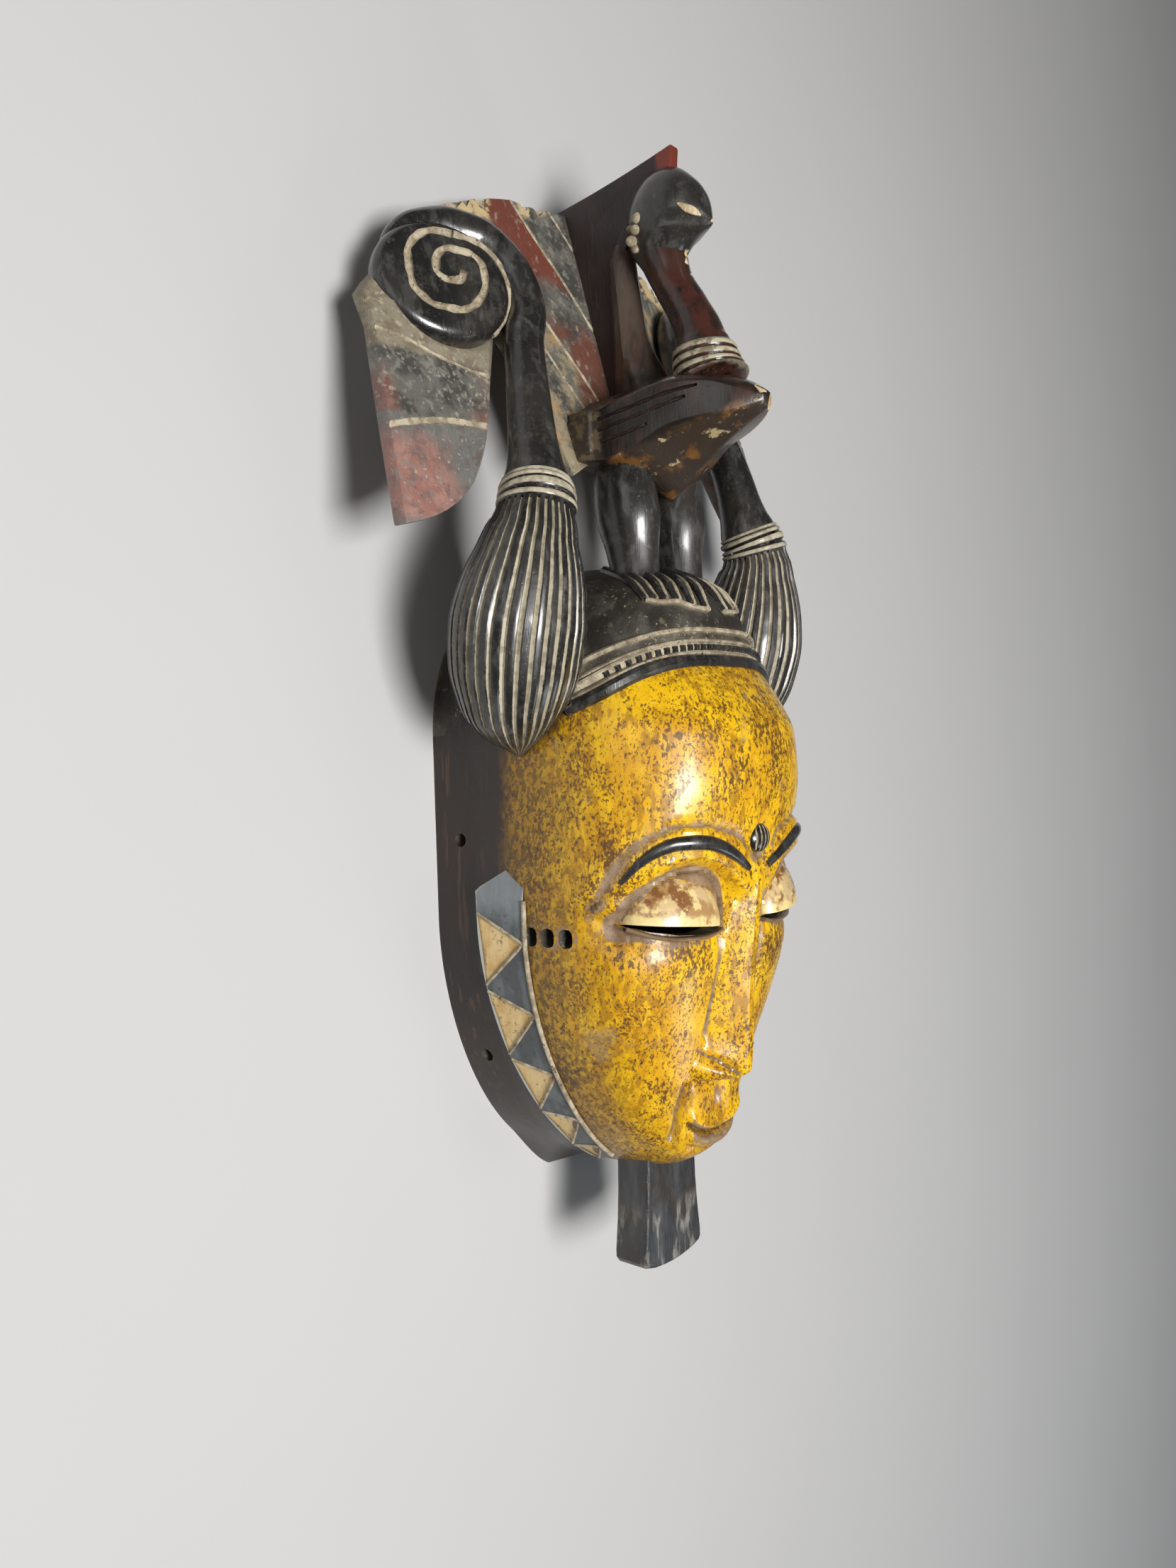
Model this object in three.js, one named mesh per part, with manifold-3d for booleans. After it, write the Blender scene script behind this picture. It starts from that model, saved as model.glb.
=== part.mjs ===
// A carved and painted wooden face mask with two ribbed, horn-like tresses that curl into
// spirals, and a perched bird with spread wings above the brow.
//
// The whole mask is one piece of wood, so it is one solid. It lies on its back:
// X runs across the face, Y from the chin peg up to the bird's crest, Z out of the face.
// Every length is in millimetres. Heights are measured from a level just under the peg.

import * as THREE from 'three';
import { mergeVertices } from 'three/addons/utils/BufferGeometryUtils.js';
import Module from 'manifold-3d';

// Driving sizes of the face
const FACE_HALF_WIDTH = 64;
const WALL_DEPTH = 20;
const WALL_FLARE = 2.5;
const CHIN_HEIGHT = 42;
const CHIN_SAG = 8;
const CHEEK_HEIGHT = 146;
const TEMPLE_HEIGHT = 215;
const CAP_HEIGHT = 283;
const SHELL = 10;
const EYE_HEIGHT = 143;

// Driving sizes of the tresses
const BULB_RADIUS = 24.5;
const RIB_COUNT = 26;
const RIB_DEPTH = 1.3;
const COLLAR_RADIUS = 14.4;
const DISC_RADIUS = 25.5;
const DISC_STRETCH = 1.1;
const DISC_THICKNESS = 13;

// Driving sizes of the wings, the bird and the chin peg
const WING_THICKNESS = 9;
const WING_ROOT_DEPTH = 45;
const WING_SWEEP = 0.1;
const WING_LEAN = 0.27;
const WING_ROOT_HEIGHT = 343;
const CREST_THICKNESS = 7;
const PEG_END = 4;
const PEG_WIDTH = 38;
const PEG_THICKNESS = 16;

const WOOD = new THREE.MeshStandardMaterial({ color: 0xb58a1c, roughness: 0.35, metalness: 0 });

const wasm = await Module();
wasm.setup();

const point = (x, y, z) => new THREE.Vector3(x, y, z);

// A smooth function through a few [position, value] stops.
function through(stops) {
  const last = stops.length - 1;
  const rise = (i, j) => (stops[j][1] - stops[i][1]) / (stops[j][0] - stops[i][0]);
  const slope = (i) => {
    if (i === 0) return rise(0, 1);
    if (i === last) return rise(last - 1, last);
    const before = rise(i - 1, i);
    const after = rise(i, i + 1);
    return before * after <= 0 ? 0 : (2 * before * after) / (before + after);
  };
  return (t) => {
    if (t <= stops[0][0]) return stops[0][1];
    if (t >= stops[last][0]) return stops[last][1];
    let i = 0;
    while (t > stops[i + 1][0]) i += 1;
    const span = stops[i + 1][0] - stops[i][0];
    const s = (t - stops[i][0]) / span;
    const startWeight = (1 + 2 * s) * (1 - s) * (1 - s);
    const startPull = s * (1 - s) * (1 - s) * span * slope(i);
    const endWeight = s * s * (3 - 2 * s);
    const endPull = s * s * (s - 1) * span * slope(i + 1);
    return startWeight * stops[i][1] + startPull + endWeight * stops[i + 1][1] + endPull;
  };
}

// A closed solid through a row of rings that all have the same number of points.
function loft(rings) {
  const count = rings[0].length;
  const positions = [];
  const faces = [];
  for (const ring of rings) {
    for (const p of ring) positions.push(p.x, p.y, p.z);
  }
  for (let i = 0; i < rings.length - 1; i += 1) {
    for (let j = 0; j < count; j += 1) {
      const a = i * count + j;
      const b = i * count + ((j + 1) % count);
      faces.push(a, b, b + count, a, b + count, a + count);
    }
  }
  for (const end of [0, rings.length - 1]) {
    const middle = rings[end].reduce((sum, p) => sum.add(p), point(0, 0, 0));
    middle.divideScalar(count);
    const centre = positions.length / 3;
    positions.push(middle.x, middle.y, middle.z);
    for (let j = 0; j < count; j += 1) {
      const a = end * count + j;
      const b = end * count + ((j + 1) % count);
      if (end === 0) faces.push(b, a, centre);
      else faces.push(a, b, centre);
    }
  }
  const geometry = new THREE.BufferGeometry();
  geometry.setAttribute('position', new THREE.Float32BufferAttribute(positions, 3));
  geometry.setIndex(faces);
  return geometry;
}

// Rings of a section carried along a curve. reach(t, angle) gives the section's half sizes
// along the side direction and along the direction square to it.
function sweep(curve, steps, sides, side, reach) {
  const rings = [];
  for (let i = 0; i <= steps; i += 1) {
    const t = i / steps;
    const centre = curve.getPoint(t);
    const ahead = curve.getTangent(t);
    const across = side.clone().addScaledVector(ahead, -side.dot(ahead)).normalize();
    const up = ahead.clone().cross(across);
    const ring = [];
    for (let j = 0; j < sides; j += 1) {
      const angle = (2 * Math.PI * j) / sides;
      const [wide, deep] = reach(t, angle);
      const p = centre.clone();
      p.addScaledVector(across, wide * Math.cos(angle));
      p.addScaledVector(up, deep * Math.sin(angle));
      ring.push(p);
    }
    rings.push(ring);
  }
  return loft(rings);
}

const smoothCurve = (points) => new THREE.CatmullRomCurve3(points, false, 'centripetal');

// The signed volume is below zero when a mesh's faces point inwards.
function signedVolume(position, faces) {
  const [a, b, c] = [point(0, 0, 0), point(0, 0, 0), point(0, 0, 0)];
  let sum = 0;
  for (let i = 0; i < faces.length; i += 3) {
    a.fromBufferAttribute(position, faces[i]);
    b.fromBufferAttribute(position, faces[i + 1]);
    c.fromBufferAttribute(position, faces[i + 2]);
    sum += a.dot(b.cross(c)) / 6;
  }
  return sum;
}

// Turns a closed geometry into a solid that can be joined and cut.
function solid(source) {
  const geometry = source.clone();
  geometry.deleteAttribute('normal');
  geometry.deleteAttribute('uv');
  const merged = mergeVertices(geometry, 1e-4);
  const index = merged.getIndex().array;
  const faces = [];
  for (let i = 0; i < index.length; i += 3) {
    const [a, b, c] = [index[i], index[i + 1], index[i + 2]];
    if (a !== b && b !== c && c !== a) faces.push(a, b, c);
  }
  const position = merged.getAttribute('position');
  if (signedVolume(position, faces) < 0) faces.reverse();
  const vertProperties = new Float32Array(position.array);
  const triVerts = new Uint32Array(faces);
  return new wasm.Manifold(new wasm.Mesh({ numProp: 3, vertProperties, triVerts }));
}

const join = (parts) => parts.reduce((whole, part) => whole.add(part));

// The same geometry on the other side of the face's middle plane.
function mirrored(geometry) {
  const other = geometry.clone();
  other.scale(-1, 1, 1);
  return other;
}

const bothSides = (geometry) => solid(geometry).add(solid(mirrored(geometry)));

// Depth of the face's front along its middle line, from under the chin to the hair's top.
const frontDepth = through([
  [CHIN_HEIGHT, 32], [44, 56], [48, 70], [55, 80], [64, 84], [76, 85], [90, 86], [110, 90],
  [135, 97], [160, 102], [180, 106], [200, 109.5], [215, 108.5], [230, 101], [244, 92],
  [256, 90], [266, 86], [273, 79], [279, 66], [CAP_HEIGHT, 44],
]);

// How square a level section of the face is: full at the cheeks, rounder above and below.
const fullness = through([
  [CHIN_HEIGHT, 2.6], [80, 2.9], [118, 3.4], [150, 3.1], [190, 2.65], [250, 2.5],
]);

// Half width of the face: a pointed oval below the cheeks, straight temples, a round cap.
function halfWidth(height) {
  if (height < CHEEK_HEIGHT) {
    const fall = (CHEEK_HEIGHT - height) / (CHEEK_HEIGHT - CHIN_HEIGHT + 0.6);
    return FACE_HALF_WIDTH * (1 - fall ** 1.8) ** 0.56;
  }
  if (height < TEMPLE_HEIGHT) return FACE_HALF_WIDTH;
  const rise = (height - TEMPLE_HEIGHT) / (CAP_HEIGHT - TEMPLE_HEIGHT + 1);
  return FACE_HALF_WIDTH * Math.sqrt(1 - rise ** 2.2);
}

// Depth of the plain face, without nose, eyes or mouth, at any place across it.
function faceDepth(x, height) {
  const across = Math.min(Math.abs(x) / halfWidth(height), 1);
  const bulge = (1 - across ** fullness(height)) ** (1 / fullness(height));
  return WALL_DEPTH + (frontDepth(height) - WALL_DEPTH) * bulge;
}

const onFace = (x, height, lift) => point(x, height, faceDepth(x, height) + lift);

// One level section of the face, from the back of one side wall round to the other.
function faceSection(height, inset, backDepth, flare, steps) {
  const half = halfWidth(height) - inset;
  const front = frontDepth(height) - inset;
  const rise = Math.min((height - CHIN_HEIGHT) / 14, 1);
  const back = height - CHIN_SAG * (1 - rise) ** 2;
  const ring = [point(half + flare, back, backDepth), point(half, height, WALL_DEPTH)];
  const power = 2 / fullness(height);
  for (let i = 1; i < steps; i += 1) {
    const angle = (Math.PI * i) / steps;
    const c = Math.cos(angle);
    const x = half * Math.sign(c) * Math.abs(c) ** power;
    const z = WALL_DEPTH + (front - WALL_DEPTH) * Math.sin(angle) ** power;
    ring.push(point(x, height, z));
  }
  ring.push(point(-half, height, WALL_DEPTH), point(-half - flare, back, backDepth));
  return ring;
}

function faceDome() {
  const heights = [CHIN_HEIGHT, 43.5, 47, 54, 64, 78, 96, 117, 140, 163, 185, 205, 222, 238, 252,
    264, 274, 280, CAP_HEIGHT];
  return solid(loft(heights.map((height) => faceSection(height, 0, 0, WALL_FLARE, 16))));
}

// The hollow for the wearer's face, open at the back.
function faceHollow() {
  const bottom = CHIN_HEIGHT + SHELL;
  const top = TEMPLE_HEIGHT + 33;
  const rings = [];
  const steps = 7;
  for (let i = 0; i <= steps; i += 1) {
    const spread = (1 - Math.cos((Math.PI * i) / steps)) / 2;
    const height = bottom + (top - bottom) * spread;
    const closing = Math.sin((Math.PI * i) / steps) ** 0.35;
    const inset = SHELL + (1 - closing) * 9;
    rings.push(faceSection(height, inset, -2, 0, 8));
  }
  return solid(loft(rings));
}

// Raised black brows that follow the face.
function brows() {
  const line = smoothCurve([
    onFace(53, 160, 0.5), onFace(48, 172, 0.5), onFace(38, 178.5, 0.6),
    onFace(24, 175, 0.6), onFace(8, 163, 0.4),
  ]);
  const swell = (t) => 0.5 + 0.5 * Math.sin(Math.PI * t) ** 0.6;
  return bothSides(sweep(line, 7, 4, point(0, 0, 1), (t) => [3, 3.6 * swell(t)]));
}

// A heavy, half closed upper lid over each eye, with a thin rim under it.
function lids() {
  const lid = new THREE.SphereGeometry(1, 10, 8);
  lid.scale(21.5, 22, 12);
  lid.rotateY(0.42);
  lid.translate(32, EYE_HEIGHT + 1, faceDepth(32, EYE_HEIGHT) - 6);
  const below = new THREE.BoxGeometry(60, 30, 60);
  below.translate(32, EYE_HEIGHT - 14.2, 85);
  const upper = bothSides(lid).subtract(bothSides(below));
  const rim = smoothCurve([
    onFace(12, EYE_HEIGHT - 1, 0), onFace(22, EYE_HEIGHT - 3.4, 0.6),
    onFace(34, EYE_HEIGHT - 3, 0.6), onFace(50, EYE_HEIGHT + 2, 0),
  ]);
  return upper.add(bothSides(sweep(rim, 4, 4, point(0, 0, 1), () => [1.6, 1.3])));
}

// The sight slits, cut right through under the lids.
function sightSlits() {
  const slit = smoothCurve([
    point(14, EYE_HEIGHT - 0.4, 0), point(32, EYE_HEIGHT - 0.4, 0), point(48, EYE_HEIGHT + 1.6, 0),
  ]);
  const outline = new THREE.Shape();
  const steps = 6;
  const half = (t) => 1.5 * Math.sin(Math.PI * t) ** 0.7;
  for (let i = 0; i <= steps; i += 1) {
    const p = slit.getPoint(i / steps);
    if (i === 0) outline.moveTo(p.x, p.y);
    else outline.lineTo(p.x, p.y + half(i / steps));
  }
  for (let i = steps - 1; i > 0; i -= 1) {
    const p = slit.getPoint(i / steps);
    outline.lineTo(p.x, p.y - half(i / steps));
  }
  const cut = new THREE.ExtrudeGeometry(outline, { depth: 110, bevelEnabled: false });
  cut.translate(0, 0, 20);
  return bothSides(cut);
}

// A long straight wedge of a nose that ends in a flat tip with two wings.
function nose() {
  const ridgeDepth = through([[79, 88], [84, 94], [87, 98], [122, 100.5], [160, 105], [176, 106]]);
  const ridgeHalf = through([[79, 6], [86, 5], [95, 2.4], [160, 2.2], [176, 4]]);
  const baseHalf = through([[79, 10], [84, 15], [90, 16], [110, 14], [150, 9], [176, 6]]);
  const rings = [80, 84, 87, 96, 118, 146, 174].map((height) => {
    const base = baseHalf(height);
    const ridge = ridgeHalf(height);
    const front = ridgeDepth(height);
    const side = faceDepth(base, height) - 2;
    return [
      point(base, height, side - 8), point(base, height, side), point(ridge, height, front),
      point(-ridge, height, front), point(-base, height, side), point(-base, height, side - 8),
    ];
  });
  return solid(loft(rings));
}

// Small pursed lips and the ridge of the channel above them.
function mouth() {
  const lip = (height, depth, half, thick) => {
    const line = smoothCurve([
      onFace(-half, height, -1.5), onFace(-half / 2, height - 0.4, depth - 1),
      onFace(0, height - 0.6, depth), onFace(half / 2, height - 0.4, depth - 1),
      onFace(half, height, -1.5),
    ]);
    const full = (t) => thick * (0.45 + 0.55 * Math.sin(Math.PI * t));
    return solid(sweep(line, 6, 6, point(0, 0, 1), (t) => [full(t) * 1.2, full(t)]));
  };
  const channel = smoothCurve([point(0, 82, 84), point(0, 74, 87), point(0, 67, 87.5)]);
  const ridge = sweep(channel, 2, 6, point(0, 0, 1), () => [3, 4.5]);
  return join([lip(67, 1.8, 16, 3.4), lip(60.5, 2.6, 14, 3.8), solid(ridge)]);
}

// The small raised scar between the brows.
function browScar() {
  const knob = new THREE.SphereGeometry(1, 8, 6);
  knob.scale(6, 8, 4.5);
  knob.translate(0, 175.5, 105);
  return solid(knob);
}

// Three small square holes in a row at each temple, and two round ones in each side wall.
function sideHoles() {
  const square = (step) => {
    const hole = new THREE.BoxGeometry(40, 6.4, 4.8);
    hole.translate(62, 142.6, 45.5 + 6.9 * step);
    return bothSides(hole);
  };
  const tieHole = (height, depth) => {
    const hole = new THREE.CylinderGeometry(2.6, 2.6, 40, 6);
    hole.rotateZ(Math.PI / 2);
    hole.translate(62, height, depth);
    return bothSides(hole);
  };
  return join([square(0), square(1), square(2), tieHole(177.5, 12), tieHole(92, 11)]);
}

// The hairline runs from temple to temple in a low arch.
const hairline = (x) => 243 - 21 * (x / 61) ** 2;

// A smooth band over the forehead and a raised line above it.
function headband() {
  const ridge = (rise, wide, high) => {
    const points = [];
    for (let i = -5; i <= 5; i += 1) {
      const x = 11.7 * i;
      points.push(onFace(x, hairline(x) + rise, 0));
    }
    const line = smoothCurve(points);
    return solid(sweep(line, 8, 4, point(0, 0, 1), () => [high, wide]));
  };
  return ridge(3.4, 5, 2.8).add(ridge(13, 2.6, 2.2));
}

// Half width of the face where its surface is at the given depth.
function halfWidthAt(height, depth) {
  const rise = Math.min(Math.max(depth - WALL_DEPTH, 0) / (frontDepth(height) - WALL_DEPTH), 1);
  return halfWidth(height) * (1 - rise ** fullness(height)) ** (1 / fullness(height));
}

// The collar round the jaw: a slanting band whose outer edge stands clear of the side wall.
const RUFF_START = -0.1;
const RUFF_END = Math.PI / 2 - 0.1;
function ruffOuter(angle) {
  const height = 149 - 105.5 * Math.sin(angle);
  const depth = 23 + 12 * Math.sin(Math.max(angle, 0)) ** 2;
  return point(halfWidth(height) + 4.5 - 3 * Math.sin(angle), height, depth);
}

function ruffInner(angle) {
  const height = 148 - 98 * Math.sin(angle);
  const depth = 43 + 4 * Math.sin(Math.max(angle, 0)) ** 2;
  return point(halfWidthAt(height, depth) + 0.6, height, depth);
}

function ruff() {
  const rings = [];
  const steps = 8;
  for (let i = 0; i <= steps; i += 1) {
    const angle = RUFF_START + ((RUFF_END - RUFF_START) * i) / steps;
    const outer = ruffOuter(angle);
    const inner = ruffInner(angle);
    const root = inner.clone().lerp(point(0, CHEEK_HEIGHT, inner.z), 0.2);
    root.z -= 20;
    rings.push([inner, outer, root]);
  }
  const peak = rings[0].map((p) => p.clone().lerp(point(61, 171, 34), 0.85));
  return bothSides(loft([peak, ...rings]));
}

// Five chip carved triangles along each side of the collar.
function ruffChips() {
  const chips = [];
  for (let i = 0; i < 5; i += 1) {
    const start = 0.02 + 0.285 * i;
    const at = (angle, t, lift) => {
      const p = ruffInner(angle).lerp(ruffOuter(angle), t);
      p.z += lift;
      p.x += lift * 0.6;
      return p;
    };
    const top = (lift) => [
      at(start, 0.94, lift), at(start + 0.21, 0.94, lift), at(start + 0.1, 0.14, lift),
    ];
    chips.push(bothSides(loft([top(4), top(-2.2)])));
  }
  return join(chips);
}

// A flat peg under the chin that widens a little towards its rounded end.
function chinPeg() {
  const stations = [
    [PEG_END, 0.9, 0.8, 1.2], [PEG_END + 2, 1, 1, 1], [18, 0.98, 1, 0], [32, 0.88, 1, 0],
    [50, 0.84, 1, 0],
  ];
  return solid(loft(stations.map(([height, wide, deep, bow]) => {
    const x = (PEG_WIDTH / 2) * wide;
    const z = (PEG_THICKNESS / 2) * deep;
    const corner = 2;
    const outline = [
      [x, -z + corner], [x, z - corner], [x - corner, z], [0, z + 0.5],
      [-x + corner, z], [-x, z - corner], [-x, -z + corner], [-x + corner, -z], [x - corner, -z],
    ];
    return outline.map(([px, pz]) => point(px, height + bow * 3 * (px / x) ** 2, 52.5 + pz));
  })));
}

// The line along the middle of one tress, from its lower point up to where it curls.
const tressLine = [
  point(63, 206, 42), point(72, 230, 48), point(74.5, 256, 53), point(72.8, 282, 58.5),
  point(71, 304, 60.5),
];

// A ribbed bulb like a gourd, closed by three rings.
function bulb() {
  const radius = through([
    [0, 1.2], [0.04, 5], [0.12, 12.5], [0.24, 19.5], [0.38, 23.7], [0.52, BULB_RADIUS],
    [0.66, 22.8], [0.78, 18.8], [0.87, COLLAR_RADIUS], [1, COLLAR_RADIUS],
  ]);
  const stations = [0, 0.07, 0.2, 0.42, 0.66, 0.868];
  const line = smoothCurve(tressLine);
  const sides = 2 * RIB_COUNT;
  const rings = stations.map((t) => {
    const centre = line.getPointAt(t);
    const ahead = line.getTangentAt(t);
    const across = point(1, 0, 0).addScaledVector(ahead, -ahead.x).normalize();
    const up = ahead.clone().cross(across);
    const ring = [];
    for (let j = 0; j < sides; j += 1) {
      const angle = (2 * Math.PI * j) / sides;
      const size = radius(t);
      const rib = j % 2 === 0 ? 0 : RIB_DEPTH * Math.min(1, size / 14);
      const p = centre.clone();
      p.addScaledVector(across, (size - rib) * Math.cos(angle));
      p.addScaledVector(up, (size - rib) * Math.sin(angle));
      ring.push(p);
    }
    return ring;
  });
  return loft(rings);
}

function bulbRings() {
  const line = smoothCurve(tressLine);
  const start = line.getPointAt(0.85);
  const end = line.getPointAt(1);
  const profile = through([
    [0, 14.6], [0.125, 15.3], [0.25, 13.8], [0.375, 15.2], [0.5, 13.6], [0.625, 13.6],
    [0.75, 14.9], [0.875, 13.4], [1, 12.8],
  ]);
  const length = new THREE.LineCurve3(start, end);
  return sweep(length, 8, 10, point(1, 0, 0), (t) => [profile(t), profile(t)]);
}

// The plain neck of a tress. It leans in and back, narrows, and bends out over the disc.
function tressNeck() {
  const line = smoothCurve([
    point(71, 302, 60.3), point(68, 313.5, 58), point(66, 326.4, 55.5), point(62, 343, 51),
    point(57.5, 362, 45.6), point(53, 379, 39.5), point(56, 390, 35), point(64, 397, 30),
    point(74, 400, 26),
  ]);
  const wide = through([
    [0, 13], [0.125, 11.2], [0.25, 9.1], [0.375, 7.7], [0.5, 7], [0.75, 6], [1, 4],
  ]);
  return sweep(line, 10, 8, point(1, 0, 0), (t) => [wide(t) * 1.03, wide(t) * 1.08]);
}

// The frame of a tress's disc: its middle, and its own across, up and outward directions.
const DISC_MIDDLE = point(82.5, 378, 25.5);
function discPlace() {
  const outward = point(0.33, 0.24, 1).normalize();
  const across = point(1, 0, 0).addScaledVector(outward, -outward.x).normalize();
  const up = outward.clone().cross(across);
  const place = new THREE.Matrix4().makeBasis(across, up, outward);
  return place.setPosition(DISC_MIDDLE);
}

// A thick, softly rounded disc.
function disc() {
  const half = DISC_THICKNESS / 2;
  const outline = [
    [0, -half], [0.78, -half], [1, half * 0.1], [0.95, half * 0.72], [0.82, half], [0, half],
  ].map(([r, z]) => new THREE.Vector2(r * DISC_RADIUS, z));
  const shape = new THREE.LatheGeometry(outline, 18);
  shape.rotateX(Math.PI / 2);
  shape.scale(DISC_STRETCH, 1, 1);
  shape.applyMatrix4(discPlace());
  return shape;
}

// The spiral groove in the disc's face: a little over two turns, tightening to the middle.
function spiralGroove() {
  const turn = Math.PI / 180;
  const radius = through([
    [-55, 31], [-19, 24.5], [11, 19.3], [50, 16.5], [135, 18.6], [230, 15.2], [320, 15],
    [364, 11], [405, 8.6], [513, 7.6], [604, 5.4], [700, 4.6],
  ]);
  const points = [];
  for (let angle = -55; angle <= 700; angle += 30) {
    const r = radius(angle);
    // The groove turns from the neck's inner side over the top towards the wing's edge.
    const x = -5 - r * Math.cos(angle * turn) * 1.05;
    const y = 1 + r * Math.sin(angle * turn);
    points.push(point(x, y, DISC_THICKNESS / 2 + 0.4));
  }
  const line = new THREE.CatmullRomCurve3(points);
  const cut = sweep(line, 20, 3, point(0, 0, 1), () => [-2.8, 2.6]);
  cut.applyMatrix4(discPlace());
  return cut;
}

// One wing, from the crest out to the hanging tip, with a slot behind the tress's neck.
// The board is swept a little back to its edges and leans back upwards.
function wing() {
  const outline = new THREE.Shape();
  outline.moveTo(-2, 432);
  outline.lineTo(24, 428.5);
  outline.lineTo(33, 428.5);
  outline.quadraticCurveTo(50, 424.5, 66, 416.5);
  outline.quadraticCurveTo(87, 408, 99, 396);
  outline.quadraticCurveTo(108, 386, 111, 367);
  outline.lineTo(110, 360);
  outline.lineTo(111.5, 357);
  outline.quadraticCurveTo(113.5, 330, 118, 286);
  outline.quadraticCurveTo(98, 291, 86, 304.5);
  outline.quadraticCurveTo(74, 320, 68, 342);
  outline.lineTo(57, 372);
  outline.lineTo(46, 352);
  outline.lineTo(35, 314.5);
  outline.lineTo(26, 320);
  outline.lineTo(-2, 326);
  const board = new THREE.ExtrudeGeometry(outline, {
    depth: WING_THICKNESS, bevelEnabled: false, curveSegments: 4,
  });
  const position = board.getAttribute('position');
  for (let i = 0; i < position.count; i += 1) {
    const x = position.getX(i);
    const lean = WING_ROOT_DEPTH - WING_SWEEP * x;
    const depth = lean - WING_LEAN * (position.getY(i) - WING_ROOT_HEIGHT);
    position.setZ(i, depth - WING_THICKNESS + position.getZ(i));
  }
  return board;
}

// The tall thin crest between the wings, up to the back of the bird's head.
function crest() {
  const outline = new THREE.Shape();
  outline.moveTo(-76, 442);
  outline.quadraticCurveTo(-45, 436, -16, 433.5);
  outline.lineTo(-20, 410);
  outline.lineTo(-36, 352);
  outline.lineTo(-46, 352);
  outline.lineTo(-48, 400);
  outline.quadraticCurveTo(-52, 412, -60, 418);
  outline.lineTo(-75, 428);
  const blade = new THREE.ExtrudeGeometry(outline, {
    depth: CREST_THICKNESS, bevelEnabled: false, curveSegments: 6,
  });
  blade.translate(0, 0, -CREST_THICKNESS / 2);
  blade.rotateY(Math.PI / 2);
  return solid(blade);
}

// The post under the crest, behind the bird's neck: pointed above, spread out below.
function crestPost() {
  const line = smoothCurve([
    point(0, 414, 48), point(0, 405, 48), point(0, 385, 50), point(0, 368, 52), point(0, 350, 56),
  ]);
  const wide = through([[0, 2], [0.15, 5.4], [0.5, 6.2], [1, 8]]);
  const deep = through([[0, 2.5], [0.15, 5.6], [0.6, 7], [1, 13]]);
  return solid(sweep(line, 5, 6, point(1, 0, 0), (t) => [wide(t), deep(t)]));
}

// The bird's body: a boat shape with a square stern against the wings and a pointed breast.
function birdBody() {
  const section = (z, top, shoulder, side, bilge, keel) => [
    point(0, top, z), point(shoulder[0], shoulder[1], z), point(side[0], side[1], z),
    point(bilge[0], bilge[1], z), point(0, keel, z), point(-bilge[0], bilge[1], z),
    point(-side[0], side[1], z), point(-shoulder[0], shoulder[1], z),
  ];
  return solid(loft([
    section(36, 350, [14, 346], [31, 336], [31, 320], 313),
    section(46, 352, [16, 347], [33, 336], [32.5, 319], 310),
    section(58, 354, [16, 350], [30, 339], [29.5, 322], 307.5),
    section(70, 356, [14, 353], [26, 344], [25, 328], 309.5),
    section(84, 357, [13, 354], [21, 349], [19, 337.5], 318),
    section(97, 355, [10, 353], [15, 349], [13.5, 343], 326),
    section(107, 348, [6, 347], [9, 343.5], [7, 339], 331.5),
    section(114, 341, [2.5, 340.5], [3.6, 338.5], [2.5, 336.5], 335),
  ]));
}

function birdNeck() {
  const line = smoothCurve([
    point(0, 347, 89), point(0, 357, 86), point(0, 372, 80.5), point(0, 388, 74), point(0, 402, 68),
  ]);
  const size = through([
    [0, 14], [0.071, 13.2], [0.143, 14.4], [0.214, 12.9], [0.286, 14], [0.357, 12.2], [0.43, 12],
    [0.7, 10.4], [1, 9.4],
  ]);
  return solid(sweep(line, 14, 8, point(1, 0, 0), (t) => [size(t) * 0.95, size(t)]));
}

// A round head with a flat underside, a closed eye on each side and a broken stub of a beak.
function birdHead() {
  const skull = new THREE.SphereGeometry(1, 12, 7);
  skull.scale(14, 16, 16.5);
  skull.translate(0, 417.8, 75);
  const jaw = new THREE.SphereGeometry(1, 8, 5);
  jaw.scale(10, 7.5, 12);
  jaw.rotateX(0.35);
  jaw.translate(0, 406.5, 78);
  const stub = smoothCurve([point(0, 412.5, 82), point(0, 410, 88.5), point(0, 407.5, 94)]);
  const stubSize = (t) => [6 - 3 * t, 5 - 2.4 * t];
  const lid = new THREE.SphereGeometry(1, 6, 4);
  lid.scale(1.6, 2, 5.2);
  lid.rotateX(0.35);
  lid.translate(11.2, 415, 84);
  return join([
    solid(skull), solid(jaw), solid(sweep(stub, 2, 6, point(1, 0, 0), stubSize)), bothSides(lid),
  ]);
}

// Two thick legs and, on the hair, the long toes of each foot.
function birdLegs() {
  const leg = smoothCurve([point(15.4, 324, 60), point(15.4, 308, 59.5), point(14.6, 290, 60),
    point(14.5, 272, 62)]);
  const size = through([[0, 13], [0.45, 12], [0.75, 9.6], [0.9, 9], [1, 10]]);
  const parts = [bothSides(sweep(leg, 5, 8, point(1, 0, 0), (t) => [size(t), size(t) * 1.05]))];
  for (let toe = 0; toe < 4; toe += 1) {
    const start = 6 + 6.2 * toe;
    const end = 4 + 9.4 * toe;
    const line = smoothCurve([
      onFace(start * 0.9, 279, 0.8), onFace(start, 274, 1.2), onFace((start + end) / 2, 268, 1),
      onFace(end, 261.5, -0.4),
    ]);
    parts.push(bothSides(sweep(line, 2, 3, point(0, 0, 1), (t) => [2.6 - 0.8 * t, 2.4])));
  }
  return join(parts);
}

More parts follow.
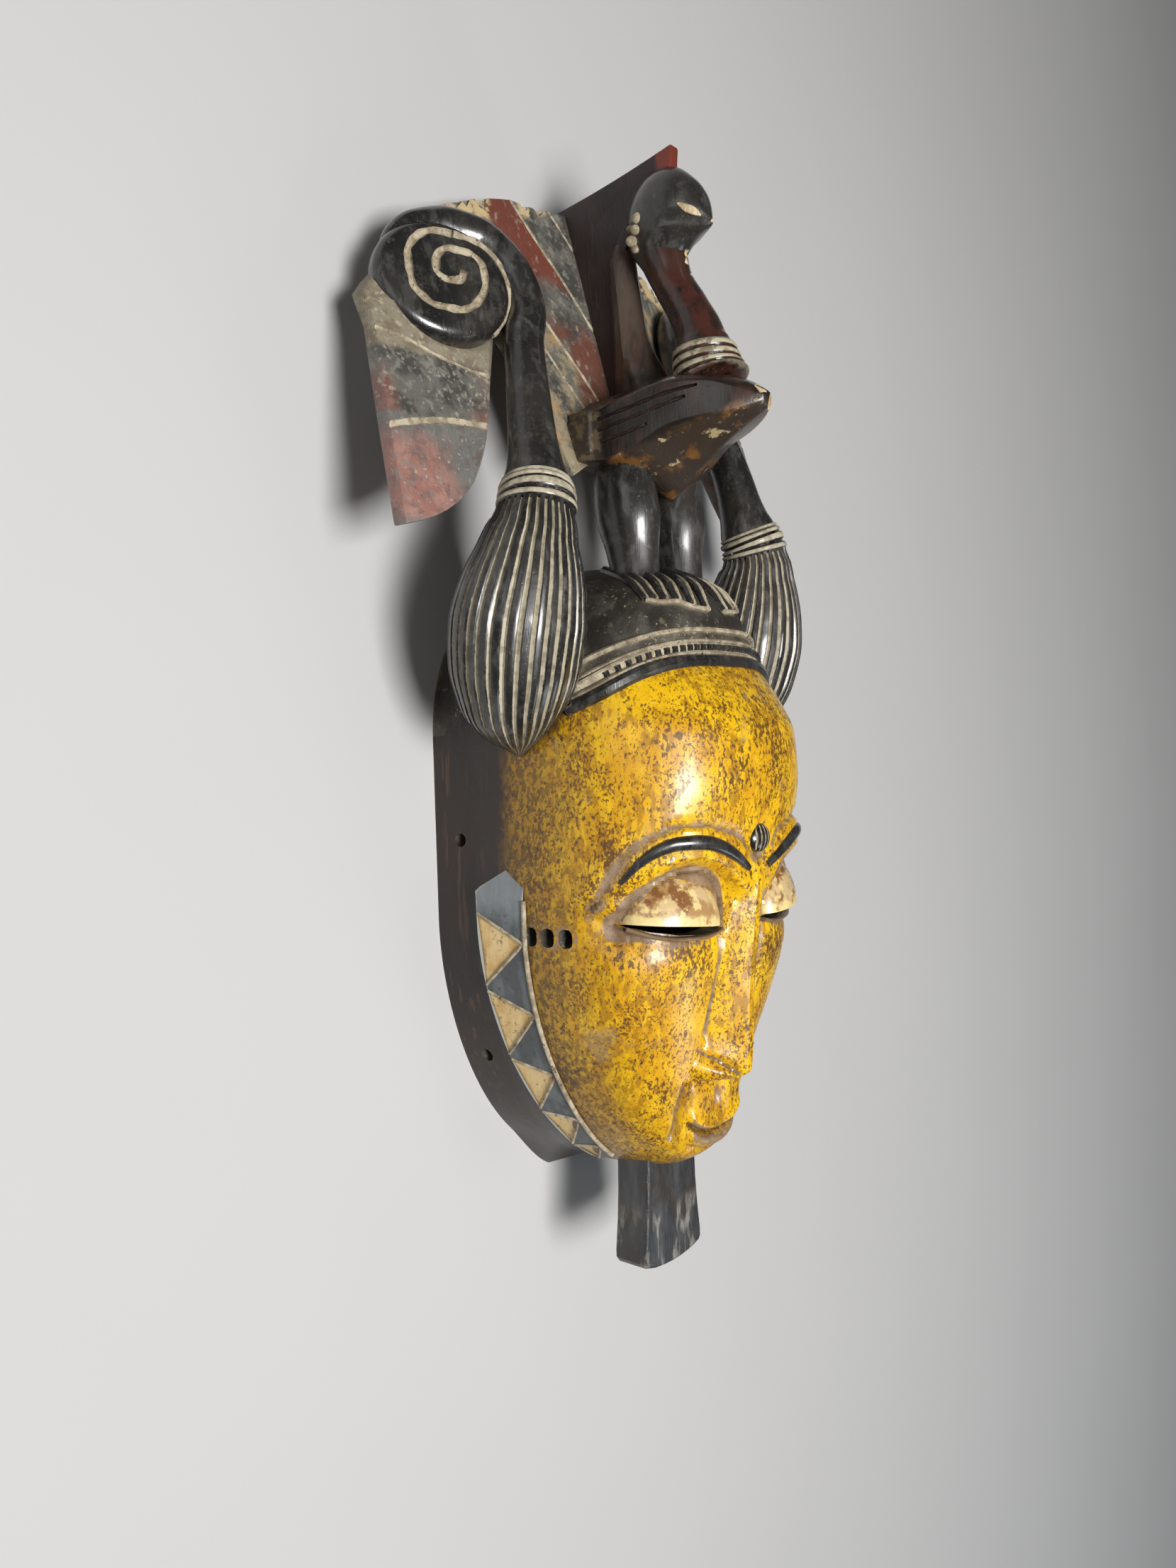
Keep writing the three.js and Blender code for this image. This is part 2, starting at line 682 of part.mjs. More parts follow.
function carveMask() {
  const spirals = bothSides(disc()).subtract(bothSides(spiralGroove()));
  const wings = bothSides(wing());
  const face = join([
    faceDome(), lids(), brows(), nose(), mouth(), browScar(), headband(), chinPeg(),
  ]);
  const collar = ruff().subtract(ruffChips());
  const tresses = join([bothSides(bulb()), bothSides(bulbRings()), bothSides(tressNeck())]);
  const bird = join([birdBody(), birdNeck(), birdHead(), birdLegs(), crest(), crestPost()]);
  const whole = join([face, collar, tresses, spirals, wings, bird]);
  return whole.subtract(faceHollow()).subtract(sightSlits()).subtract(sideHoles());
}

// The finished geometry, centred on X and Y, with the flat back of the side walls at Z zero.
function asGeometry(manifold) {
  const mesh = manifold.getMesh();
  const positions = [];
  for (let i = 0; i < mesh.numVert; i += 1) {
    for (let k = 0; k < 3; k += 1) positions.push(mesh.vertProperties[i * mesh.numProp + k]);
  }
  const geometry = new THREE.BufferGeometry();
  geometry.setAttribute('position', new THREE.Float32BufferAttribute(positions, 3));
  geometry.setIndex(Array.from(mesh.triVerts));
  geometry.computeBoundingBox();
  const middle = geometry.boundingBox.getCenter(point(0, 0, 0));
  geometry.translate(-middle.x, -middle.y, -geometry.boundingBox.min.z);
  geometry.computeVertexNormals();
  return geometry;
}

const mask = new THREE.Mesh(asGeometry(carveMask()), WOOD);
mask.name = 'mask';

const group = new THREE.Group();
group.add(mask);

export default group;
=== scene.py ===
# %% [markdown]
# # A carved and painted wooden mask
# The mask is one block of wood: a domed face with deep sides, a collar of cut triangles, two ribbed
# tresses that end in spirals, and a bird between spread wings. It lies on its flat back, and the
# camera looks at it from the side, so that it fills a tall picture.

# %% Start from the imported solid
import math

import bpy
import numpy as np
from mathutils import Matrix, Vector


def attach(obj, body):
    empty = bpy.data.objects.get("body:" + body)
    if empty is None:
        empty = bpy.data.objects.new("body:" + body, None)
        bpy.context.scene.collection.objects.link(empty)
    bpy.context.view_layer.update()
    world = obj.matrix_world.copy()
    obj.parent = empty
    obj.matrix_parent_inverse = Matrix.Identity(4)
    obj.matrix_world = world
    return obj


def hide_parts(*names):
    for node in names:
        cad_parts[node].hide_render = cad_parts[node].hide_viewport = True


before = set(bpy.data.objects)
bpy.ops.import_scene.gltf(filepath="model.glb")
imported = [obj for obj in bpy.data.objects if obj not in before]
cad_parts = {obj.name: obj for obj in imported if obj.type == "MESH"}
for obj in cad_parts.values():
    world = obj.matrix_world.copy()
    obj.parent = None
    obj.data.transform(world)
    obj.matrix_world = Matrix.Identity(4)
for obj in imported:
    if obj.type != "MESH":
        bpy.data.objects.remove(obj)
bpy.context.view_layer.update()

# %% [markdown]
# ## Heights and a smooth rule
# The carver's heights are counted from a level just under the chin peg, in millimetres. Blender
# works in metres about the middle of the mask, so one helper turns the one into the other.
# A second helper runs a smooth line through a few stops, because most forms here are given by
# their size at a few places.

# %% Units and smooth rules
MM = 0.001
MIDDLE_HEIGHT = 223


def in_metres(places):
    """Places in the carver's millimetres become places in the scene."""
    places = np.array(places, float)
    return (places - [0, MIDDLE_HEIGHT, 0]) * MM


def places_of(piece):
    """Where the points of a piece are, in the carver's millimetres."""
    return np.array([point.co for point in piece.data.vertices]) / MM + [0, MIDDLE_HEIGHT, 0]


def through(stops):
    """A smooth function through [position, value] stops that never overshoots them."""
    at, value = (np.array(column, float) for column in zip(*stops))
    rise = np.diff(value) / np.diff(at)
    inner = [0 if a * b <= 0 else 2 * a * b / (a + b) for a, b in zip(rise, rise[1:])]
    slope = np.array([rise[0], *inner, rise[-1]])

    def rule(t):
        t = np.clip(t, at[0], at[-1])
        i = np.clip(np.searchsorted(at, t, side="right") - 1, 0, len(at) - 2)
        span = at[i + 1] - at[i]
        s = (t - at[i]) / span
        pull = s * (1 - s) ** 2 * slope[i] - s * s * (1 - s) * slope[i + 1]
        return (1 + 2 * s) * (1 - s) ** 2 * value[i] + s * s * (3 - 2 * s) * value[i + 1] + span * pull

    return rule


def smooth_line(points):
    """A smooth line through points, as a function of the share of its length."""
    points = np.array(points, float)
    steps = np.linalg.norm(np.diff(points, axis=0), axis=1)
    share = np.concatenate([[0], np.cumsum(steps)]) / steps.sum()
    rules = [through(list(zip(share, points[:, k]))) for k in range(3)]
    return lambda t: np.stack([rule(t) for rule in rules], axis=-1)


def bump(distance, width):
    """One at nought distance, and fading to nothing a few widths away."""
    return np.exp(-((distance / width) ** 2))


def soft_step(past, softness):
    """Nought well before a line, one well past it, and a half on it."""
    return 1 / (1 + np.exp(-past / softness))


print("helpers ready")

# %% [markdown]
# ## Rolling a sheet
# Faces, gourds, necks and legs are all closed forms that swell and shrink along a line. Each one
# starts as a flat grid that is rolled up: every point of the grid is moved to its place on the
# form, the seam is merged and the open ends are filled. A grid gives even, square faces, which
# take carving and smooth shading better than a stretched sphere.

# %% Rolling and sweeping
SEAM_GAP = 2e-6
ACROSS_FACE, OUT_OF_FACE = (1, 0, 0), (0, 0, 1)


def only(piece):
    """Selects one piece and nothing else."""
    if bpy.context.object and bpy.context.object.mode != "OBJECT":
        bpy.ops.object.mode_set(mode="OBJECT")
    bpy.ops.object.select_all(action="DESELECT")
    piece.select_set(True)
    bpy.context.view_layer.objects.active = piece


def close_up(piece):
    """Merges the seam, fills the open ends and turns all faces outwards."""
    only(piece)
    bpy.ops.object.mode_set(mode="EDIT")
    bpy.ops.mesh.select_all(action="SELECT")
    bpy.ops.mesh.remove_doubles(threshold=SEAM_GAP)
    bpy.ops.mesh.fill_holes(sides=0)
    bpy.ops.mesh.select_all(action="SELECT")
    bpy.ops.mesh.normals_make_consistent(inside=False)
    bpy.ops.object.mode_set(mode="OBJECT")


def moved_to(piece, places):
    """Moves every point of a piece to its place, given in the carver's millimetres."""
    piece.data.vertices.foreach_set("co", in_metres(places).ravel())
    piece.data.update()


def note(piece, name, values):
    """Writes one number per point into the mesh, for the finishes to read."""
    layer = piece.data.attributes.get(name) or piece.data.attributes.new(name, "FLOAT", "POINT")
    layer.data.foreach_set("value", np.array(values, np.float32))


def rolled(name, around, along, place, finish, clay=None):
    """A grid rolled into the closed form that place(u, v) gives, u round it and v along it."""
    bpy.ops.object.select_all(action="DESELECT")
    bpy.ops.mesh.primitive_grid_add(x_subdivisions=around, y_subdivisions=along, size=1)
    piece = bpy.context.object
    piece.name = name
    flat = np.empty(len(piece.data.vertices) * 3)
    piece.data.vertices.foreach_get("co", flat)
    u, v = flat.reshape(-1, 3)[:, 0] + 0.5, flat.reshape(-1, 3)[:, 1] + 0.5
    moved_to(piece, place(u, v))
    note(piece, "clay", clay(u, v) if clay else u * 0)
    piece.data.materials.append(finish)
    close_up(piece)
    return piece


def swept(name, points, along, around, reach, finish, side=ACROSS_FACE, clay=None):
    """A section carried along a smooth line. reach(t, angle) gives its two half sizes, and the
    first of them is measured towards side."""
    line = smooth_line(points)

    def place(u, v):
        ahead = line(np.minimum(v + 0.01, 1)) - line(np.maximum(v - 0.01, 0))
        ahead /= np.linalg.norm(ahead, axis=1)[:, None]
        across = np.array(side, float) - ahead * (ahead @ np.array(side, float))[:, None]
        across /= np.linalg.norm(across, axis=1)[:, None]
        up = np.cross(ahead, across)
        angle = 2 * math.pi * u
        wide, deep = reach(v, angle)
        turned = across * (wide * np.cos(angle))[:, None] + up * (deep * np.sin(angle))[:, None]
        return line(v) + turned

    return rolled(name, around, along, place, finish, clay)


def steady(wide, deep):
    """A section that keeps its size all along its line."""
    return lambda t, angle: (wide + 0 * t, deep + 0 * t)


def dressed(piece, finish):
    """Gives a piece its finish, with no clay on it yet."""
    piece.data.materials.append(finish)
    note(piece, "clay", np.zeros(len(piece.data.vertices)))
    return piece


def rounded(piece, width, segments=2, angle=24):
    """Rounds the edges that turn by more than the angle."""
    only(piece)
    edge = piece.modifiers.new("rounded edges", "BEVEL")
    edge.width = width * MM
    edge.segments = segments
    edge.limit_method = "ANGLE"
    edge.angle_limit = math.radians(angle)
    bpy.ops.object.modifier_apply(modifier=edge.name)
    return piece


def cut_board(name, outline, thickness, finish, edge=0.9, rounds=2):
    """A board sawn to an outline: a ring of points moved to the outline, filled, pulled up to its
    thickness, and its edges rounded."""
    bpy.ops.object.select_all(action="DESELECT")
    bpy.ops.mesh.primitive_circle_add(vertices=len(outline), radius=1, fill_type="NGON")
    board = bpy.context.object
    board.name = name
    moved_to(board, [(x, height, 0) for x, height in outline])
    only(board)
    bpy.ops.object.mode_set(mode="EDIT")
    bpy.ops.mesh.select_all(action="SELECT")
    bpy.ops.mesh.extrude_region_move(TRANSFORM_OT_translate={"value": (0, 0, thickness * MM)})
    bpy.ops.mesh.select_all(action="SELECT")
    bpy.ops.mesh.normals_make_consistent(inside=False)
    bpy.ops.object.mode_set(mode="OBJECT")
    return dressed(rounded(board, edge, rounds, angle=40), finish)


def combine(base, part, how="UNION"):
    """Joins a part to the base, or cuts it away, and the part is used up. Cut walls keep the
    cutter's finish, which is how the clay comes to sit in the grooves."""
    only(base)
    step = base.modifiers.new("carve", "BOOLEAN")
    step.operation = how
    step.solver = "MANIFOLD"
    step.material_mode = "TRANSFER"
    step.object = part
    bpy.ops.object.modifier_apply(modifier=step.name)
    bpy.data.objects.remove(part)
    return base


def other_side(piece):
    """A copy of the piece on the other side of the face's middle plane."""
    only(piece)
    bpy.ops.object.duplicate()
    copy = bpy.context.object
    bpy.ops.transform.mirror(constraint_axis=(True, False, False), center_override=(0, 0, 0))
    bpy.ops.object.transform_apply(location=True, rotation=True, scale=True)
    bpy.ops.object.mode_set(mode="EDIT")
    bpy.ops.mesh.select_all(action="SELECT")
    bpy.ops.mesh.normals_make_consistent(inside=False)
    bpy.ops.object.mode_set(mode="OBJECT")
    return copy


def on_both_sides(base, part, how="UNION"):
    """Puts a part and its mirror copy on the base, or cuts both away."""
    combine(base, other_side(part), how)
    return combine(base, part, how)


print("rolling, sweeping, sawing and joining are ready")

# %% Finishes start as names
def new_finish(name):
    finish = bpy.data.materials.new(name)
    finish.use_nodes = True
    return finish


ochre = new_finish("ochre_face")
lacquer = new_finish("black_lacquer")
clay_fill = new_finish("pale_clay")
slate = new_finish("slate_paint")
cream = new_finish("cream_paint")
wing_paint = new_finish("wing_paint")
bird_brown = new_finish("bird_brown")
hair_dark = new_finish("dull_hair")
raw_wood = new_finish("bare_wood")
inside_wood = new_finish("inside_wood")
lid_paint = new_finish("lid_paint")
crest_brown = new_finish("crest_brown")
peg_slate = new_finish("peg_slate")

# %% [markdown]
# ## The face
# The face is a pointed oval, straight at the temples and rounded above, and a level cut through it
# is a flattened arch. Depth along the middle, half width and fullness are each a smooth rule.

# %% Sizes of the face
front_depth = through([
    (42, 32), (44, 56), (48, 70), (55, 79), (64, 82), (76, 82.6), (90, 85), (110, 90), (135, 97),
    (160, 102), (180, 106), (200, 109.5), (215, 108.5), (230, 101), (244, 92), (256, 90),
    (266, 86), (273, 79), (279, 66), (283, 44)])
fullness = through([(42, 2.6), (80, 2.9), (118, 3.4), (150, 3.1), (190, 2.65), (250, 2.5)])
HALF_WIDTH = 64
WALL = 20  # how far the side walls rise before they turn into the face
EYE_X, EYE_HEIGHT = 33, 146
TEMPLE_HEIGHT, TEMPLE_DEPTHS = 142.6, (45.6, 53.1, 60.6)


def half_width(height):
    fall = np.clip((146 - height) / 104.6, 0, 1)
    rise = np.clip((height - 215) / 69, 0, 1)
    below = HALF_WIDTH * (1 - fall ** 1.8) ** 0.56
    return np.where(height < 146, below, HALF_WIDTH * np.sqrt(1 - rise ** 2.2))


def face_depth(x, height):
    across = np.clip(np.abs(x) / half_width(height), 0, 1)
    full = fullness(height)
    return WALL + (front_depth(height) - WALL) * (1 - across ** full) ** (1 / full)


def hairline(x):
    """Where the paint of the forehead ends and the hair begins."""
    return 241.4 - 14 * (np.abs(x) / 55) ** 3.4


def on_face(x, height, lift=0):
    """A place on the plain face, lifted off it."""
    return np.array([x, height, face_depth(x, height) + lift], float)


def to_line(x, height, points):
    """Distance from a line of points on the face, how far along it, and on which side."""
    best = np.full(np.shape(x), 1e9)
    along = np.zeros(np.shape(x))
    side = np.ones(np.shape(x))
    points = np.array(points, float)
    lengths = np.linalg.norm(np.diff(points, axis=0), axis=1)
    start = np.concatenate([[0], np.cumsum(lengths)])
    for i, (a, b) in enumerate(zip(points, points[1:])):
        run, climb = b - a
        t = np.clip(((x - a[0]) * run + (height - a[1]) * climb) / lengths[i] ** 2, 0, 1)
        away = np.hypot(x - a[0] - t * run, height - a[1] - t * climb)
        turn = run * (height - a[1]) - climb * (x - a[0])
        closer = away < best
        best = np.where(closer, away, best)
        along = np.where(closer, (start[i] + t * lengths[i]) / start[-1], along)
        side = np.where(closer, np.where(turn > 0, 1, -1), side)
    return best, along, side


def drawn(points, count=24):
    """Points of a smooth line on the face, closely spaced."""
    points = np.array([(x, height, 0) for x, height in points], float)
    return smooth_line(points)(np.linspace(0, 1, count))[:, :2]


brow_line = drawn([(6.8, 165.2), (16.8, 170.9), (25, 174.6), (33.8, 176.6), (40.8, 176.4), (47, 173.4),
                   (52.2, 167), (55.4, 160.4)])
brow_groove = drawn([(9, 172.5), (12, 176.8), (23, 180.6), (33, 182.8), (40, 182.3), (46.2, 179.6),
                     (51, 175.2), (55.2, 166.5), (57, 158), (57.8, 150)])
nose_groove = drawn([(14, 139), (13.6, 122), (13.4, 102)])
nostril_line = drawn([(17.5, 97), (9.5, 91.5), (2.6, 85.4)])
cheek_fold = drawn([(19.2, 82), (20.6, 72), (20.2, 62)])
print("face", 2 * HALF_WIDTH, "mm wide and", front_depth(200), "mm deep at the forehead")

# %% [markdown]
# ## Carving the face
# The relief is low: a round band and a black strip over each eye, a hollow under them, the wedge
# of the nose, two lips and a fold beside the mouth. No single tool cuts this, so the face's grid
# is moved point by point, outwards or inwards along its own surface, as a knife would leave it.

# %% Relief of the face
def mouth_line(x):
    return 61.8 + 6.4 * np.clip(np.abs(x) / 17, 0, 1.1) ** 2.3


def relief(x, height):
    """How far the carved face stands off the plain one, in millimetres."""
    x = np.abs(x)
    off, share, side = to_line(x, height, brow_line)
    off = off * side
    outer = np.clip(share / 0.12, 0, 1)
    rise = 1.2 * bump(off - 3.6, 2.0) * outer + 0.9 * bump(off, 2.4) + 2.7 * bump(off + 6.2, 4.0)
    groove, far, _ = to_line(x, height, brow_groove)
    rise -= 1.5 * bump(groove, 1.5) * np.clip((far - 0.02) / 0.08, 0, 1)
    round_eye = np.hypot((x - EYE_X) / 22, (height - EYE_HEIGHT) / 21)
    upper = soft_step(height - 141, 2.2)
    rise -= upper * (4.6 * bump(round_eye - 1.0, 0.15) + 3 * (round_eye < 0.9))
    rise -= (1 - upper) * 1.6 * bump(np.hypot((x - EYE_X) / 22, (height - 143) / 7), 0.9)
    for line, deep, wide in ((nose_groove, 1.9, 1.5), (cheek_fold, 2.4, 1.5)):
        rise -= deep * bump(to_line(x, height, line)[0], wide)
    parting = mouth_line(x)
    above = height - parting
    upper_lip = soft_step(16.3 - x, 0.7) * soft_step(82 - height, 1)
    rise += 1.9 * upper_lip * soft_step(above - 0.4, 0.45) * np.clip(x / 9, 0.35, 1)
    rise += 0.9 * bump(above - 2.6, 2.2) * upper_lip
    low = np.sqrt(np.clip(1 - (x / 15) ** 2, 0, 1))
    rise += 2.5 * bump(above + 3.6, 2.6) * low
    rise -= 3.2 * bump(above + 0.4, 0.95) * np.clip((17 - x) / 1.5, 0, 1)
    rise -= 1.6 * bump(above + 8.4, 1.6) * np.clip((14 - x) / 2, 0, 1)
    rise += (1.2 * bump(x - 5, 2.6) - 1.9 * bump(x, 2.2)) * bump(height - 75.5, 5)
    rise -= 1.7 * bump(x, 3.2) * bump(height - 174, 8)
    return rise


NOSE_FOOT, NOSE_TOP, RIDGE = 80, 172, 1.8
nose_front = through([(79, 83), (82.4, 84.6), (84.2, 94.6), (87, 98), (122, 100.5), (150, 104),
                      (160, 105.2), (166, 104.2), (172, 101)])
nose_half = through([(79, 13), (83, 15.5), (86, 18.6), (90, 20), (94, 18.5), (98, 14.6), (102, 13.6),
                     (122, 13.4), (140, 12.4), (152, 10), (166, 7), (172, 6)])


def nose_depth(x, height):
    """The wedge of the nose: a narrow ridge, flat sides, a flat underside and two wings."""
    base = nose_half(height)
    t = np.clip((np.abs(x) - RIDGE) / (base - RIDGE), 0, 1)
    foot = face_depth(base, height) - 1.8
    depth = nose_front(height) - (nose_front(height) - foot) * t ** 0.92
    wing_of_nose = soft_step(height - 83.6, 0.3) * soft_step(93 - 8 * (1 - t) - height, 0.8)
    depth += 3.4 * wing_of_nose * np.sin(math.pi * t) ** 0.8
    depth -= 2.0 * bump(to_line(np.abs(x), height, nostril_line)[0], 0.85)
    inside = (np.abs(x) < base) & (height > NOSE_FOOT) & (height < NOSE_TOP)
    return np.where(inside, depth, -99)  # outside the nose the face always stands higher


FACE_FOOT, FACE_TOP = 42, 283


def section(height, columns, inset=0.0, back=0.0, flare=2.5):
    """One level cut of the face, from one back edge round the front to the other."""
    half = half_width(height) - inset
    front = front_depth(height) - inset
    full = fullness(height)
    angle = np.linspace(0, math.pi, 600)
    c = np.cos(angle)
    x = half * np.sign(c) * np.abs(c) ** (2 / full)
    z = WALL + (front - WALL) * np.sin(angle) ** (2 / full)
    x = np.concatenate([[half + flare], x, [-half - flare]])
    z = np.concatenate([[back], z, [back]])
    weight = np.hypot(np.diff(x), np.diff(z)) * np.where(np.abs(z[1:]) < 60, 0.5, 1)
    weight *= 1 + 0.9 * bump(x[1:], 21)
    share = np.concatenate([[0], np.cumsum(weight)]) / weight.sum()
    at = np.linspace(0, 1, columns)
    sag = 8 * (1 - min((height - FACE_FOOT) / 14, 1)) ** 2
    low = height - sag * np.clip(1 - np.interp(at, share, z) / WALL, 0, 1)
    return np.stack([np.interp(at, share, x), low, np.interp(at, share, z)], axis=1)


def face_rows(count):
    """Heights of the rows, closer together where the outline turns in."""
    height = np.linspace(FACE_FOOT, FACE_TOP, 2000)
    step = np.sqrt(np.diff(height) ** 2 + np.diff(front_depth(height)) ** 2 * 0.5
                   + np.diff(half_width(height)) ** 2 * 0.5)
    step *= 1 + 1.1 * bump(height[1:] - 75, 22) + 0.35 * bump(height[1:] - 158, 22)
    share = np.concatenate([[0], np.cumsum(step)]) / step.sum()
    return np.interp(np.linspace(0, 1, count), share, height)


COLUMNS, ROWS = 178, 204


def carved_face(u, v):
    rows = face_rows(ROWS + 1)
    sheet = np.array([section(height, COLUMNS) for height in rows])
    along = np.gradient(sheet, axis=0)
    across = np.gradient(sheet, axis=1)
    out = np.cross(across, along)
    out /= np.maximum(np.linalg.norm(out, axis=2), 1e-9)[..., None]
    out *= np.where(out[..., 2] < 0, -1, 1)[..., None]
    front = np.clip((sheet[..., 2] - 45) / 15, 0, 1)
    high = relief(sheet[..., 0], sheet[..., 1]) * front
    sheet = sheet + out * high[..., None]
    nose = nose_depth(sheet[..., 0], sheet[..., 1])
    sheet[..., 2] = np.maximum(sheet[..., 2], nose)
    sheet = np.concatenate([sheet, sheet[:, :1]], axis=1)
    column = np.rint(u * COLUMNS).astype(int)
    row = np.rint(v * ROWS).astype(int)
    return sheet[row, column]


def face_marks(u, v):
    """Where old grime and worn clay sit: in the grooves and creases."""
    places = carved_face(u, v)
    x, height = np.abs(places[:, 0]), places[:, 1]
    over_mouth = height - mouth_line(x)
    round_eye = np.hypot((x - EYE_X - 0.4) / 20.4, (height - EYE_HEIGHT) / 21)
    on_eye = (round_eye < 1) + bump(np.maximum(round_eye - 1, 0), 0.05)
    marks = [0.34 * bump(x - 30, 16) * bump(height - 186, 5),
             on_eye * (height > 142),
             0.62 * bump(height - 139.6, 2.2) * bump(x - 34, 15),
             0.9 * bump(x, 5.5) * bump(height - 171, 5),
             0.75 * bump(x, 3.0) * bump(height - 75, 5),
             0.75 * bump(over_mouth + 3.4, 2.4) * (x < 14),
             0.8 * bump(over_mouth - 0.9, 0.9) * (x < 16)]
    for line, strength, wide in ((brow_groove, 0.7, 1.6), (nose_groove, 0.85, 1.3), (cheek_fold, 0.9, 1.5),
                                 (nostril_line, 0.8, 0.8)):
        marks.append(strength * bump(to_line(x, height, line)[0], wide))
    for hole in TEMPLE_DEPTHS:
        from_hole = np.hypot(height - TEMPLE_HEIGHT, places[:, 2] - hole)
        marks.append(bump(from_hole - 3.6, 1.0) * (x > 50))
    mark = np.max(marks, axis=0)
    return np.clip(mark, 0, 1) * (places[:, 2] > 40)


mask = rolled("carved_mask", COLUMNS, ROWS, carved_face, ochre, face_marks)
mask.data.materials.append(hair_dark)
middles = np.empty(len(mask.data.polygons) * 3)  # of the faces, to tell hair from paint
mask.data.polygons.foreach_get("center", middles)
middles = middles.reshape(-1, 3) / MM + [0, MIDDLE_HEIGHT, 0]
on_hair = middles[:, 1] > hairline(middles[:, 0]) + 3
mask.data.polygons.foreach_set("material_index", on_hair.astype(np.int32))
print("face board:", len(mask.data.polygons), "faces")

# %% [markdown]
# ## Eyes, temples and the hollow
# Each lid is a round swelling cut off straight above the sight slit, so it is a sphere pressed to
# size and cut with a block. The slit, the rounded square holes at the temples and the round tie
# holes go right through.

# %% Lids
def shaped(name, finish, size=(1, 1, 1)):
    """Names the primitive that was just added, sizes it and gives it its finish."""
    piece = bpy.context.object
    piece.name = name
    piece.scale = size
    bpy.ops.object.transform_apply(location=True, rotation=True, scale=True)
    return dressed(piece, finish)


def pressed_ball(name, size, place, finish, tilt=(0, 0, 0), segments=48, rings=32):
    bpy.ops.object.select_all(action="DESELECT")
    bpy.ops.mesh.primitive_uv_sphere_add(segments=segments, ring_count=rings, radius=MM,
                                         location=Vector(in_metres(place)), rotation=tilt)
    return shaped(name, finish, size)


def block(name, size, place, finish, tilt=(0, 0, 0)):
    bpy.ops.object.select_all(action="DESELECT")
    bpy.ops.mesh.primitive_cube_add(size=MM, location=Vector(in_metres(place)), rotation=tilt)
    return shaped(name, finish, size)


def peg_tool(name, radius, length, place, finish, tilt=(0, 0, 0), sides=24):
    """A round rod, used to bore a hole."""
    bpy.ops.object.select_all(action="DESELECT")
    bpy.ops.mesh.primitive_cylinder_add(vertices=sides, radius=radius * MM, depth=length * MM,
                                        location=Vector(in_metres(place)), rotation=tilt)
    return shaped(name, finish)


lid_depth = float(face_depth(EYE_X, EYE_HEIGHT)) - 9.1
lid = pressed_ball("lid", (19.8, 20, 12.2), (EYE_X, EYE_HEIGHT, lid_depth), lid_paint, (0, 0.42, 0))
combine(lid, block("below_lid", (80, 30, 60), (EYE_X, 131.2, 85), lid_paint, (0, 0, 0.1)), "DIFFERENCE")
rim_line = [on_face(14.5, 142.8, -2.0), on_face(24, 141.2, -1.3), on_face(36, 141.6, -1.2),
            on_face(46, 143.6, -1.3), on_face(52, 146.4, -1.6)]
combine(lid, swept("lower_rim", rim_line, 24, 12, steady(1.7, 0.9), lid_paint, OUT_OF_FACE))
on_both_sides(mask, lid)

# %% Brow strips and the scar between them
def brow_strip_size(t):
    """Half the width of the strip, widest near the nose and thin at its outer end."""
    return 2.7 * np.clip(np.sin(math.pi * np.clip(0.05 + 0.85 * (1 - t), 0, 1)), 0, 1) ** 0.6


on_both_sides(mask, swept(
    "brow_strip", [on_face(x, height, 1.5) for x, height in brow_line[::2]], 60, 16,
    lambda t, angle: (1.9 * brow_strip_size(t) / 2.7, brow_strip_size(t)), lacquer, OUT_OF_FACE))
scar = pressed_ball("scar", (6.6, 5.6, 3.6), (0, 176, float(face_depth(0, 176)) - 1.0), lacquer)
for x in (-4.4, -2.2, 0, 2.2, 4.4):
    lift = 107.9 - 0.05 * x * x
    cut = [(x * 0.7, 170.5, lift - 1.2), (x, 173.5, lift), (x, 178.5, lift + 0.1),
           (x * 0.7, 181.5, lift - 1.2)]
    combine(scar, swept("scar_tool", cut, 10, 8, steady(0.45, 0.9), clay_fill), "DIFFERENCE")
combine(mask, scar)

# %% The hollow behind the face
HOLLOW_FOOT, HOLLOW_TOP, WALL_THICK = 52, 248, 10
HOLLOW_COLUMNS, HOLLOW_ROWS = 60, 36


def hollow(u, v):
    rows = []
    for i in range(HOLLOW_ROWS + 1):
        spread = (1 - math.cos(math.pi * i / HOLLOW_ROWS)) / 2
        height = HOLLOW_FOOT + (HOLLOW_TOP - HOLLOW_FOOT) * spread
        closing = math.sin(math.pi * min(max(i, 0.4), HOLLOW_ROWS - 0.4) / HOLLOW_ROWS) ** 0.35
        rows.append(section(height, HOLLOW_COLUMNS, WALL_THICK + (1 - closing) * 9, -2, 0))
    sheet = np.array(rows)
    sheet[:, :, 1] = sheet[:, sheet.shape[1] // 2, 1][:, None]
    sheet = np.concatenate([sheet, sheet[:, :1]], axis=1)
    return sheet[np.rint(v * HOLLOW_ROWS).astype(int), np.rint(u * HOLLOW_COLUMNS).astype(int)]


combine(mask, rolled("hollow_tool", HOLLOW_COLUMNS, HOLLOW_ROWS, hollow, inside_wood), "DIFFERENCE")

# %% Slits and holes
slit = cut_board("slit_tool", [(14, 143.7), (21, 145), (32, 146.2), (43, 147.3), (51.8, 147.8),
                               (45, 144.9), (35, 142.8), (25, 142), (18, 142.5)], 110, hair_dark, 0.1, 1)
slit.data.transform(Matrix.Translation((0, 0, 0.02)))
on_both_sides(mask, slit, "DIFFERENCE")
for depth in TEMPLE_DEPTHS:
    for side in (-1, 1):
        tool = block("temple_tool", (40, 7, 5.4), (62 * side, TEMPLE_HEIGHT, depth), hair_dark)
        combine(mask, rounded(tool, 2.2, 3), "DIFFERENCE")
for height, depth in ((177.5, 12), (92, 11)):
    for side in (-1, 1):
        tool = peg_tool("tie_tool", 2.6, 40, (62 * side, height, depth), hair_dark, (0, math.pi / 2, 0))
        combine(mask, tool, "DIFFERENCE")
